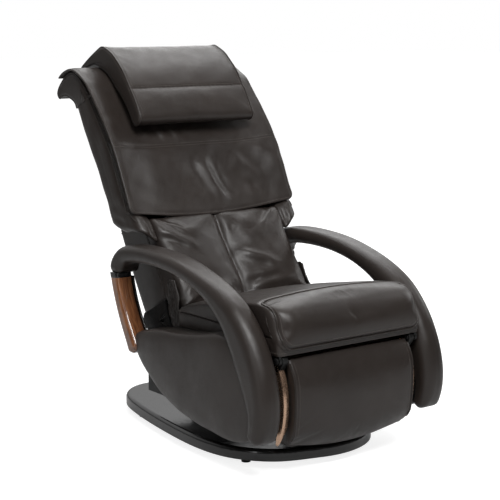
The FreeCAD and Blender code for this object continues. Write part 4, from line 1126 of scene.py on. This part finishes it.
def head_roll():
    outline = even(ROLL_OUTLINE, 120, closed=True)
    lift = smooth((outline[:, 1] - BACK_TOP) / 60)
    ahead = smooth((-5 - outline[:, 0]) / 10)
    rings = []
    for x, pull in stations(BACK_HALF, 12.0, 8.0):
        drawn = inset(outline, pull)
        square = outline[:, 0] + rounding(x, CORNER_FRONT) * ahead - rounding(x, CORNER_REAR) * (1 - ahead)
        depth = square * (1 - lift) + drawn[:, 0] * lift
        height = outline[:, 1] * (1 - lift) + drawn[:, 1] * lift
        rings.append(across(back, x, np.stack((depth, height), -1)))
    body = Body(rings)
    body.ripple(0.8, 100, 9, UP)
    obj = body.build("head_roll_upholstery")
    upholstery(obj, "backrest", "head_roll")
    for side in (-1, 1):
        path = across(back, side * (BACK_HALF - 4), outline[outline[:, 1] > 740])
        piping("head_roll_piping_%d" % (side > 0), "backrest", settled(obj, path, 1.0), 2.5)


COVER_HALF = 235.6
COVER_SPAN = (346.5, 727.0)
COVER_SEAMS = (470.0, 600.0)


def rear_cover():
    """The back's rear panel: three crowned fields between sewn seams."""
    low, high = COVER_SPAN
    near = np.array((0.0, 1.0, 3.0))
    s = np.concatenate((low + near, np.linspace(low + 7, high - 7, 90), high - near[::-1]))
    ends = np.minimum(s - low, high - s)
    round_off = 3.0 * np.sqrt(np.clip(1 - (1 - ends / 4) ** 2, 0, 1) * (ends < 4) + (ends >= 4))
    crown = np.zeros(len(s))
    for start, end in zip((low, *COVER_SEAMS), (*COVER_SEAMS, high)):
        field = np.clip(1 - (2 * (s - start) / (end - start) - 1) ** 4, 0, 1)
        crown += np.sqrt(field) * ((s >= start) & (s < end))
    front = np.column_stack((29.5 + 1.5 * (ends < 0.5), s))[::-1]
    rings = []
    for x, pull in stations(COVER_HALF, 4.0, 8.0):
        rear = 32.0 + round_off + 5.0 * (1 - (x / COVER_HALF) ** 6) * crown - pull * 0.7
        rings.append(across(back, x, np.vstack((np.column_stack((rear, s)), front))))
    obj = loft("back_rear_upholstery", rings)
    upholstery(obj, "backrest", "back_rear_cover", slot="leather")
    tree = surface_of(obj)
    for k, seam in enumerate(COVER_SEAMS):
        for lift in (-3.5, 3.5):
            path = back([(x, 80.0, seam + lift) for x in np.linspace(-COVER_HALF + 8, COVER_HALF - 8, 30)])
            name = "back_rear_stitches_%d_%d" % (k, lift > 0)
            stitches(name, "backrest", dropped(tree, path, -DEEP), DEEP)


LINING_HALF = 236.0
LINING_SPAN = (346.0, 726.0)
LINING_T = 2.4


def back_lining():
    """The cloth between the wings that the massage rollers press on, stretched and slightly bowed."""
    low, high = LINING_SPAN
    s = np.concatenate((np.linspace(low, high, 60), np.linspace(high, low, 60)))
    near = np.repeat((0.0, LINING_T), 60)
    lean = 18 * smooth((s - 600) / 140)
    rings = []
    for x in np.linspace(-LINING_HALF, LINING_HALF, 60):
        bow = -2.0 * (1 - (x / LINING_HALF) ** 2) * np.sin((s - low) / (high - low) * math.pi)
        rings.append(across(back, x, np.column_stack((-65.0 + lean + bow + near, s))))
    obj = trim(loft("back_lining", rings), "backrest", "cloth", LINING)
    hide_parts("back_liner")


PAD_FOLDS = (
    # path of (x, height) points, rise, width on its left, width on its right
    (((10, 508), (16, 450), (36, 390), (70, 330)), 9.0, 30, 20),
    (((62, 512), (58, 450), (74, 390), (104, 344)), -5.0, 22, 18),
    (((108, 524), (140, 476), (196, 418), (240, 396)), 6.0, 30, 20),
    (((150, 536), (190, 520), (250, 490), (286, 430)), 3.0, 22, 18),
    (((-40, 520), (-24, 460), (0, 400), (26, 350)), -3.5, 22, 24),
    (((-110, 528), (-90, 470), (-60, 400)), 2.2, 26, 30),
    (((-250, 520), (-230, 460), (-200, 380)), 2.0, 40, 40),
    (((100, 380), (160, 352), (230, 340)), 3.0, 26, 22),
    (((-130, 640), (-110, 600), (-96, 560), (-84, 545)), 4.0, 12, 16),
    (((-90, 632), (-66, 596), (-44, 560), (-30, 546)), 3.2, 10, 13),
    (((-170, 620), (-160, 585), (-150, 556)), 2.6, 16, 12),
    (((-30, 600), (30, 570), (90, 552)), 2.0, 20, 18),
    (((-210, 560), (-120, 548), (-40, 546)), -1.5, 12, 10))
PAD_LINE = ((315, -72), (380, -70), (450, -71), (530, -74), (600, -68), (660, -60), (710, -52), (760, -44.5),
            (800, -30), (830, -9.5), (842.5, 13), (848, 42), (846.5, 68))
PAD_TOPS = (27, 33, 37, 36, 35, 33, 30, 25, 17, 12.5, 11, 10.5, 10.5)
PAD_LOW = 318.0             # of its lower corners
PAD_SAG = 15.0              # of its lower edge, between them
PAD_CORNER = 24.0
HEM_T = 7.0                 # thickness of the sewn edge
HEM_W = 12.0                # from the edge to the foam
PAD_SEAM = 537.0            # height of the seam across the pad
HEM_STEPS = np.array((0.0, 0.4, 1.2, 2.6, 4.6, 7.0, 9.0, 11.0, 13.0, 15.0, 18.0, 23.0, 29.0, 36.0))


def pad_rows():
    """Stations up the pad: place on its rear line, outward direction, thickness, way up, and its length."""
    dense = spline(np.array(PAD_LINE)[:, ::-1], 400)
    tops = spline(np.array(PAD_TOPS, float)[:, None], 400)
    reach = reach_of(dense)
    length = reach[-1]
    wanted = np.concatenate((HEM_STEPS, np.arange(43.0, length - 34, 6.0), length - HEM_STEPS[::-1]))
    run = unit(np.gradient(dense, axis=0))
    columns = (*dense.T, -run[:, 1], run[:, 0], tops[:, 0])
    d, s, out_d, out_s, top = (np.interp(wanted, reach, column) for column in columns)
    return zip(wanted, np.stack((d, s), -1), np.stack((out_d, out_s), -1), top), length


def hem_thickness(edge):
    """Thickness of the rounded hem at a distance from its edge."""
    near = np.clip(edge / (HEM_T / 2), 0, 1)
    return HEM_T * np.sqrt(np.clip(1 - (1 - near) ** 2, 0, 1))


def pad_rings():
    """The pad's sections: thin at its hem, hollow in the middle, its lower edge sagging between corners."""
    rows, length = pad_rows()
    inner = np.arange(-PAD_HALF + 42, PAD_HALF - 40, 6.0)
    shares = np.concatenate((HEM_STEPS - PAD_HALF, inner, PAD_HALF - HEM_STEPS[::-1])) / PAD_HALF
    rings = []
    for way, place, normal, top in rows:
        turn = np.clip(PAD_CORNER - way, 0, PAD_CORNER)
        half = PAD_HALF - (PAD_CORNER - math.sqrt(PAD_CORNER ** 2 - turn ** 2))
        x = shares * half
        edge = np.minimum(half - np.abs(x), min(way, length - way))
        sag = PAD_SAG * np.cos(x / PAD_HALF * math.pi / 2) ** 2 * smooth((160 - way) / 160)
        hollow = smooth((half - np.abs(x)) / 150) ** 0.8
        deep = 9.0 + 3.0 * math.sin(way / length * math.pi)
        thick = top - (top - deep) * hollow * float(smooth((length - way) / 260))
        rim = hem_thickness(edge)
        puff = 1.5 * smooth((edge - 6) / 12)
        front = thick + puff - HEM_T / 2 + rim / 2
        foam = smooth((edge - HEM_W) / 4.0)
        rear = (thick - HEM_T / 2 - rim / 2) * (1 - foam) + 0.6 * foam
        rear = np.minimum(rear, front - rim * 0.98 - 0.02)
        corner = (PAD_LOW - PAD_LINE[0][0]) * smooth((60 - way) / 60)
        faces = []
        for lift in (front, rear):
            d, s = place[:, None] + normal[:, None] * lift
            faces.append(np.stack((x, d, s - sag + corner), -1))
        rings.append(back(np.vstack((faces[0], faces[1][::-1]))))
    return rings


def pad_hem():
    """The stitched line inside the pad's side and lower edges, as (x, height)."""
    inside = PAD_HALF - 6.0
    low = PAD_LOW + 6.0
    side = [(-inside, s) for s in np.linspace(760, low + 24, 40)]
    for t in np.linspace(0.2, 1.4, 6):
        side.append((-inside + 22 * (1 - math.cos(t)), low + 22 - 22 * math.sin(t)))
    across_low = np.linspace(-inside + 30, inside - 30, 40)
    edge = [(x, low - PAD_SAG * math.cos(x / PAD_HALF * math.pi / 2) ** 2) for x in across_low]
    return side + edge + [(-x, s) for x, s in side[::-1]]


def back_pad():
    body = Body(pad_rings())
    facing = -DEEP
    probe = probed(body)
    for path, rise, wide, far in PAD_FOLDS:
        body.fold(on_back(probe, path), rise, wide, far, facing=facing)
    seam = on_back(probe, [(x, PAD_SEAM) for x in (-PAD_HALF + 4, -150, 0, 150, PAD_HALF - 4)])
    body.fold(seam, -2.4, 4.5, ends=0.01, facing=facing)
    body.fold(seam + UP * 6 * MM, 1.0, 5.0, ends=0.05, facing=facing)
    body.ripple(0.7, 80, 11, facing)
    obj = body.build("back_pad_upholstery")
    upholstery(obj, "backrest", "back_pad")
    tree = surface_of(obj)
    hem = dropped(tree, back([(x, -100.0, s) for x, s in pad_hem()]), DEEP)
    stitches("back_pad_hem", "backrest", hem, facing)
    for lift in (-4.0, 4.0):
        path = on_back(tree, [(x, PAD_SEAM + lift) for x in np.linspace(-PAD_HALF + 5, PAD_HALF - 5, 30)])
        stitches("back_pad_seam_%d" % (lift > 0), "backrest", path, facing)


PILLOW_OUTLINE = (
    # depth, height round its section, from the rear of its lower end
    (-110, 606), (-119, 590), (-140, 586), (-156, 596), (-160, 620), (-157, 668), (-152, 704), (-146, 748),
    (-138, 782), (-116, 836), (-90, 872), (-76, 884), (-58, 889), (10, 892), (62, 890), (70, 884), (64, 878),
    (30, 867), (0, 860), (-24, 842), (-52, 807), (-66, 781), (-79, 742), (-95, 700), (-105, 660), (-109, 630))
PILLOW_SPINE = ((-134, 606), (-134, 640), (-122, 720), (-100, 800), (-66, 856), (-20, 874), (60, 884))
PILLOW_SEAM = (-152.0, 702.0)
PILLOW_COUNT = 150
PILLOW_ROWS = (
    # points from the seam, last ring of the row of stitches; the second row runs on to the pillow's end
    (-1.0, 75), (1.0, 86))


def pillow():
    rows = stations(PILLOW_HALF, 10.0, 6.0)
    outline = even(PILLOW_OUTLINE, PILLOW_COUNT, closed=True)
    body = Body([across(back, x, towards(outline, PILLOW_SPINE, pull + 2.0)) for x, pull in rows])

    def nearest(place):
        return int(np.linalg.norm(outline - place, axis=1).argmin())

    seam_i = nearest(PILLOW_SEAM)
    ends = (np.abs(body.rings[:, :, 0]) / MM > PILLOW_HALF - 7) * 0.95
    seam = np.zeros(PILLOW_COUNT)
    seam[seam_i] = 0.9
    body.inflate(np.maximum(ends, seam[None]), cap=5.0)
    line = body.at(np.linspace(0, len(rows) - 1.01, 60), np.full(60, seam_i))
    body.fold(line, -2.6, 4.5, ends=0.01, facing=-DEEP)
    body.ripple(0.5, 90, 17, -DEEP)
    obj = body.build("pillow_upholstery", 1)
    upholstery(obj, "pillow", "head_pillow")
    front = np.linspace(nearest((-158, 606)), nearest((-40, 890)), 90)
    for side in (-1, 1):
        row = np.full(PILLOW_COUNT, body.row(side * (PILLOW_HALF - 5)))
        path = settled(obj, body.at(row, np.arange(PILLOW_COUNT)), 0.8)
        piping("pillow_piping_%d" % (side > 0), "pillow", path, 2.4, closed=True)
        path = settled(obj, body.at(np.full(90, body.row(side * (PILLOW_HALF - 14))), front))
        stitches("pillow_side_stitches_%d" % (side > 0), "pillow", path, obj)
    for k, (shift, last) in enumerate(PILLOW_ROWS):
        path = settled(obj, body.at(np.linspace(3, last, 90), np.full(90, seam_i + shift)))
        stitches("pillow_stitches_%d" % k, "pillow", path, -DEEP)


# Leg rest

POD_FRONT = (
    # height, depth of the pad's front
    (96, -450), (110, -462), (130, -470), (172, -474), (223, -475), (271, -470), (300, -458), (316, -446))
POD_REAR = -438.3


def pod_front_ring(x, pull):
    bow = 1 - (abs(x) / POD_HALF) ** 2
    low = 96 - 26 * bow + pull * 0.5
    high = 315 - pull * 0.4
    rise = np.linspace(0, 1, 12)
    front = along(POD_FRONT, 96 + (316 - 96) * rise) + pull - 2.0 * bow
    outline = list(zip(front, low + (high - low) * rise))
    outline += [(POD_REAR, high - 1), (POD_REAR, (low + high) / 2), (POD_REAR, low + 3)]
    ring = even(outline, 120, closed=True)
    ring[:, 0] = np.minimum(ring[:, 0], POD_REAR)
    return across(chair, x, ring)


def pod_front():
    body = Body([pod_front_ring(x, pull) for x, pull in stations(POD_HALF, 8.0, 6.0)])
    y = (body.rings[:, :, 1] - SWIVEL[1]) / MM
    ends = np.abs(body.rings[:, :, 0]) / MM > POD_HALF - 5
    body.inflate(np.maximum(smooth((y + 446) / 6), ends * 0.9), cap=3.0)
    body.ripple(0.6, 110, 21, FRONT)
    obj = body.build("pod_front_upholstery", 1)
    upholstery(obj, "calf_pod", "pod_front_pad")
    for side in (-1, 1):
        path = [(side * (POD_HALF - 4), float(along(POD_FRONT, z)) + 2, z) for z in np.linspace(100, 312, 40)]
        piping("pod_piping_%d" % (side > 0), "calf_pod", settled(obj, chair(path), 0.8), 2.3)
        path = [(side * (POD_HALF - 14), float(along(POD_FRONT, z)), z) for z in np.linspace(96, 312, 40)]
        stitches("pod_stitches_%d" % (side > 0), "calf_pod", settled(obj, chair(path)), FRONT)


POD_SHELL = (
    # height, depth of the shell's rear
    (80, -392), (84, -372), (92, -350), (110, -338), (130, -332), (195, -326), (262, -332), (282, -338),
    (298, -350), (308, -372), (314, -392))
POD_SPAN = (80.0, 314.0)
POD_SHELL_HALF = 207.0
POD_SHELL_FRONT = -437.8
CHANNEL_X = 104.0
CHANNEL_Y = -330.0
CHANNEL_R = 52.5


def pod_shell():
    """The pod's shell round its two channels, in plan from the bottom up."""
    low, high = POD_SPAN
    ends = np.array((0.0, 0.6, 2.0, 5.0))
    x = np.linspace(-POD_SHELL_HALF + 12, POD_SHELL_HALF - 12, 121)
    near = np.abs(np.abs(x) - CHANNEL_X)
    channel = CHANNEL_Y - np.sqrt(np.maximum(CHANNEL_R ** 2 - near ** 2, 0))
    channel = np.where(near < CHANNEL_R, channel, 0.0)
    turn = np.radians((15, 35, 55, 75, 90))
    rings = []
    for z in np.concatenate((low + ends, np.linspace(low + 9, high - 9, 44), high - ends[::-1])):
        tuck = 8 * (1 - math.sqrt(1 - (1 - min(1.0, min(z - low, high - z) / 8)) ** 2))
        rear = float(along(POD_SHELL, z)) - tuck
        out = POD_SHELL_HALF - tuck
        corner = np.column_stack((np.sin(turn), np.cos(turn))) * 12 + (out - 12, rear - 12)
        sides = np.column_stack((np.full(8, out), np.linspace(rear + tuck - 24, -436 + tuck, 8)))
        front = np.linspace(out - 3 - tuck, -out + 3 + tuck, 24)
        front = np.column_stack((front, np.full(24, POD_SHELL_FRONT)))
        half = np.vstack((corner, sides))
        whole = (np.column_stack((x, np.minimum(rear, channel))), half, front, half[::-1] * (-1, 1))
        rings.append(level(chair, np.vstack(whole), z))
    upholstery(loft("pod_shell_upholstery", rings), "calf_pod", "pod_shell")


LINING_RISE = (84.0, 310.0)


def pod_lining():
    """Padded linings of the two channels, with ribs across them."""
    low, high = LINING_RISE
    for side in (-1, 1):
        rings = []
        for z in np.linspace(low, high, 100):
            above = CHANNEL_Y + 1.5 - float(along(POD_SHELL, z))
            start = max(4.0, math.degrees(math.asin(min(0.97, max(0.0, above / CHANNEL_R)))))
            turn = np.radians(np.linspace(180 + start, 360 - start, 40))
            rib = 1.2 * abs(math.sin((z - low) / (high - low) * math.pi * 8)) ** 0.6
            end = 1.5 * (1 - min(1.0, (z - low) / 5, (high - z) / 5)) ** 2
            arc = np.stack((np.cos(turn), np.sin(turn)), -1)
            ring = np.vstack((arc * (CHANNEL_R - 0.6 - end), arc[::-1] * (CHANNEL_R - 5.0 - rib + end)))
            rings.append(level(chair, ring + (side * CHANNEL_X, CHANNEL_Y), z))
        obj = loft("calf_lining_" + hand(side), rings)
        upholstery(obj, "calf_pod", "calf_liners", slot="cloth", material=LINING)


ARC_CENTRE = np.array((-214.0, 195.0))
ARC_LINE = (
    # angle about the arc's centre, radius of the middle of its band, half its width
    (148.6, 228, 3.5), (149.6, 229, 7.0), (153, 230, 10.0), (160, 229.5, 11.0), (168, 227.5, 13),
    (180, 225, 14.8), (192, 227, 12.6), (202, 231.5, 8.4), (205, 233, 6.6), (207.4, 234.0, 3.0))
ARC_R = 225.0               # by which its angles become lengths
ARC_X = (217.0, 237.0)
LEG_PIVOT = (-438.0, 322.0)
POD_PIVOT = (-398.0, 195.0)


def slab(name, outline, span, side, bevel=1.6, count=96):
    """A plate with rounded edges: an outline in the side view, between two places across."""
    edge = even(outline, count, closed=True)
    middle = edge.mean(axis=0)
    low, high = span
    lip = bevel * 0.3
    rings = []
    for x, pull, share in (
            (low, bevel, 0.9), (low, bevel, 0), (low + lip, lip, 0), (low + bevel, 0, 0),
            (high - bevel, 0, 0), (high - lip, lip, 0), (high, bevel, 0), (high, bevel, 0.9)):
        ring = inset(edge, pull)
        rings.append(across(chair, side * x, ring + (middle - ring) * share))
    return loft(name, rings)


def leg_crescent(side):
    rows = even([(math.radians(a) * ARC_R, r, w) for a, r, w in ARC_LINE], 90)
    rings = []
    for reach, r, w in rows:
        turn = reach / ARC_R
        out = np.array((math.cos(turn), math.sin(turn)))
        half = 10.0 - 7.0 * float(smooth((math.degrees(turn) - 192) / 15))
        section = rounded_ring(w, half, min(3.5, w * 0.8, half * 0.8), 5, 4)
        crown = 1.2 * (1 - (section[:, 1] / half) ** 2) * (section[:, 0] > 0)
        place = ARC_CENTRE + out * (r + section[:, :1] + crown[:, None])
        rings.append(chair(np.column_stack((side * (ARC_X[1] - half + section[:, 1]), place))))
    return loft("leg_arc_" + hand(side), rings)


def round_at(place, radius, degrees):
    """Points of a circle in the side view."""
    turn = np.radians(degrees)
    return np.column_stack((np.cos(turn), np.sin(turn))) * radius + place


LUG = ((-12, 0), (-8, 9), (0, 12), (9, 8), (12, -2), (14, -12), (22, -27), (8, -30), (-3, -20), (-9, -10))
WEB_REAR = ((-20, 26), (-36, 34), (-40, 0), (-36, -34), (-20, -26))
CAP_X = (247.3, 252.6)


def leg_arc(side):
    """The bright crescent beside the pod, with its dark lug, web and the cap on its pin."""
    low, high = ARC_X
    word = hand(side)
    web = np.vstack((round_at(POD_PIVOT, 22, (-110, -80, -40, 0, 40, 80, 110)), np.add(WEB_REAR, POD_PIVOT)))
    pieces = (
        (leg_crescent(side), "bronze", BRONZE),
        (slab("leg_lug_" + word, np.add(LUG, LEG_PIVOT), (low + 1, high - 1), side), "steel_black", COATED),
        (slab("leg_web_" + word, web, (low + 2, high - 2), side), "steel_black", COATED))
    for obj, slot, material in pieces:
        trim(obj, "leg_rest", slot, material)
        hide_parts("leg_arcs")
    cap = round_at(LEG_PIVOT, 9, np.arange(0, 360, 30))
    trim(slab("leg_cap_" + word, cap, CAP_X, side, 1.2, 48), "chassis", "plastic", BLACK)


# Side covers and hinge guards

GUARD_OUTLINE = ((189, 318), (186, 346), (161, 359), (118, 382), (88, 399), (77, 400), (70, 388), (58, 356),
                 (44, 325), (38, 300), (66, 288), (110, 288), (157, 294))
GUARD_X = (249.6, 256.9)


def hinge_guard(side):
    """A moulded cover in the gap between the recline hinge and the side panel."""
    obj = slab("hinge_guard_" + hand(side), GUARD_OUTLINE, GUARD_X, side)
    trim(obj, "chassis", "plastic", BLACK)


PANEL_OUTLINE = ((145, 279), (114, 238), (62, 194), (-10, 150), (-110, 117), (-230, 101), (-350, 95),
                 (-425, 125), (-445, 200), (-422, 290), (-362, 360), (-280, 377), (-190, 360), (-90, 345),
                 (0, 338), (80, 324), (128, 305))
PANEL_MIDDLE = np.array((-150.0, 240.0))
COVER_IN = 262.3


def side_cover(side):
    """The side panel: a flat wall whose outer face is domed towards its middle."""
    name = "side_cover_" + hand(side)
    outline = even(PANEL_OUTLINE, 160, closed=True)
    rows = [(COVER_IN, 0.03), (COVER_IN, 0.01), (COVER_IN + 2, 0.0), (300, 0.0), (318, 0.0)]
    for turn in np.linspace(0.04, 1, 30) * math.pi / 2:
        rows.append((ARM_OUT - 19 + 21 * math.sin(turn), 0.9 * (1 - math.cos(turn)) ** 1.35))
    body = Body([across(chair, side * x, outline + (PANEL_MIDDLE - outline) * share) for x, share in rows])
    body.ripple(0.8, 160, 31, (side, 0, 0))
    upholstery(body.build(name + "_upholstery"), "chassis", name, slot="leather")


for side in (1, -1):
    arm(side)
    wood_accent(side)
    wing(side)
    gusset(side)
    hinge_guard(side)
    side_cover(side)
    leg_arc(side)
apron()
seat()
waist_shell()
waist()
hinge_bridge()
head_roll()
rear_cover()
back_lining()
back_pad()
pillow()
pod_front()
pod_shell()
pod_lining()


# Light, floor and camera

def aimed(name, data, place, way):
    """A lamp or camera at a place, looking along a direction."""
    obj = linked(name, data)
    obj.location = place
    obj.rotation_euler = way.to_track_quat("-Z", "Y").to_euler()
    return obj


LAMPS = (
    # name, place, height it is aimed at above the middle of the chair, size, watts
    ("key", (-0.9, -2.2, 3.1), 0.5, (1.5, 1.3), 120), ("top", (0.3, 0.9, 3.0), 0.6, (2.4, 1.4), 38),
    ("shine", (2.1, 2.0, 2.5), 0.5, (2.4, 2.0), 30), ("graze", (2.8, -0.4, 1.8), 0.7, (0.8, 1.6), 18),
    ("crown", (1.6, 0.3, 3.3), 0.9, (0.8, 0.8), 10), ("strip", (-2.6, -1.5, 1.9), 0.7, (0.3, 3.0), 15))


def lamps():
    for name, place, height, size, watts in LAMPS:
        data = bpy.data.lights.new(name, "AREA")
        data.shape = "RECTANGLE"
        data.size, data.size_y = size
        data.energy = watts
        aimed(name, data, place, Vector((0, 0, height)) - Vector(place))


FLOOR_GLOW = 0.84           # of the floor at the chair; it reaches 1 at FLOOR_FAR
FLOOR_MIRRORED = 0.25       # share of the glow that gloss sees
FLOOR_FAR = 3.0             # metres
FLOOR_HALF = 30.0           # metres
WORLD_LIGHT = 0.13


def white_floor():
    corners = [(u * FLOOR_HALF, v * FLOOR_HALF, 0) for u, v in ((-1, -1), (1, -1), (1, 1), (-1, 1))]
    floor = mesh_object("floor", corners, [(0, 1, 2, 3)])
    material = bpy.data.materials.new("pale_floor")
    n = Nodes(material)
    n.fixed(Base_Color=(0.5, 0.5, 0.5, 1), Roughness=0.9, Specular_IOR_Level=0.1, Emission_Color=(1, 1, 1, 1))
    ray = n.add("ShaderNodeLightPath").outputs
    mirrored = n.math("MULTIPLY", ray["Is Glossy Ray"], FLOOR_MIRRORED)
    seen = n.math("MAXIMUM", ray["Is Camera Ray"], mirrored)
    seen = n.math("MAXIMUM", seen, ray["Is Transmission Ray"])
    away = n.add("ShaderNodeVectorMath", {0: n.place}, operation="LENGTH").outputs["Value"]
    glow = n.fade(away, 1.0, FLOOR_FAR, FLOOR_GLOW, 1.0)
    n.link(n.math("MULTIPLY", glow, seen), "Emission Strength")
    paint(floor, material)


def white_world():
    """White where it is seen. Gloss sees it dimmer overhead, in front and on the left, as in a studio."""
    world = bpy.data.worlds.new("studio")
    bpy.context.scene.world = world
    n = Nodes(world)
    ray = n.add("ShaderNodeLightPath").outputs
    way = n.add("ShaderNodeSeparateXYZ", {0: n.add("ShaderNodeTexCoord").outputs["Generated"]}).outputs
    overhead = n.fade(way["Z"], 0.25, 0.9, 1.0, 0.5)
    ahead = n.fade(way["Y"], 0.0, 0.6, 0.12, 0.95)
    aside = n.fade(way["X"], -0.9, -0.1, 0.35, 1.0)
    horizon = n.fade(way["Z"], 0.05, 0.4, 0.25, 1.0)
    mirrored = n.math("MULTIPLY", n.math("MULTIPLY", overhead, horizon), n.math("MULTIPLY", aside, ahead))
    light = n.between(ray["Is Glossy Ray"], WORLD_LIGHT, mirrored)
    seen = n.math("MAXIMUM", ray["Is Camera Ray"], ray["Is Transmission Ray"])
    background = n.tree.nodes["Background"]
    background.inputs["Color"].default_value = (1, 1, 1, 1)
    n.tree.links.new(n.between(seen, light, 1.0), background.inputs["Strength"])


def studio():
    white_floor()
    white_world()
    lamps()


CAMERA_TURN = -37.17        # degrees round the chair from its front
CAMERA_RISE = 9.58          # degrees above the horizon
CAMERA_REACH = 4.2
CAMERA_AIM = Vector((0.0326, -0.0097, 0.525))
LENS = 101.16
SENSOR = 36.0


def camera():
    turn, rise = math.radians(CAMERA_TURN), math.radians(CAMERA_RISE)
    away = Vector((math.sin(turn) * math.cos(rise), -math.cos(turn) * math.cos(rise), math.sin(rise)))
    data = bpy.data.cameras.new("camera")
    data.lens = LENS
    data.sensor_width = SENSOR
    place = CAMERA_AIM + away * CAMERA_REACH
    bpy.context.scene.camera = aimed("camera", data, place, -away)


studio()
camera()
bpy.context.scene.view_settings.view_transform = "Standard"
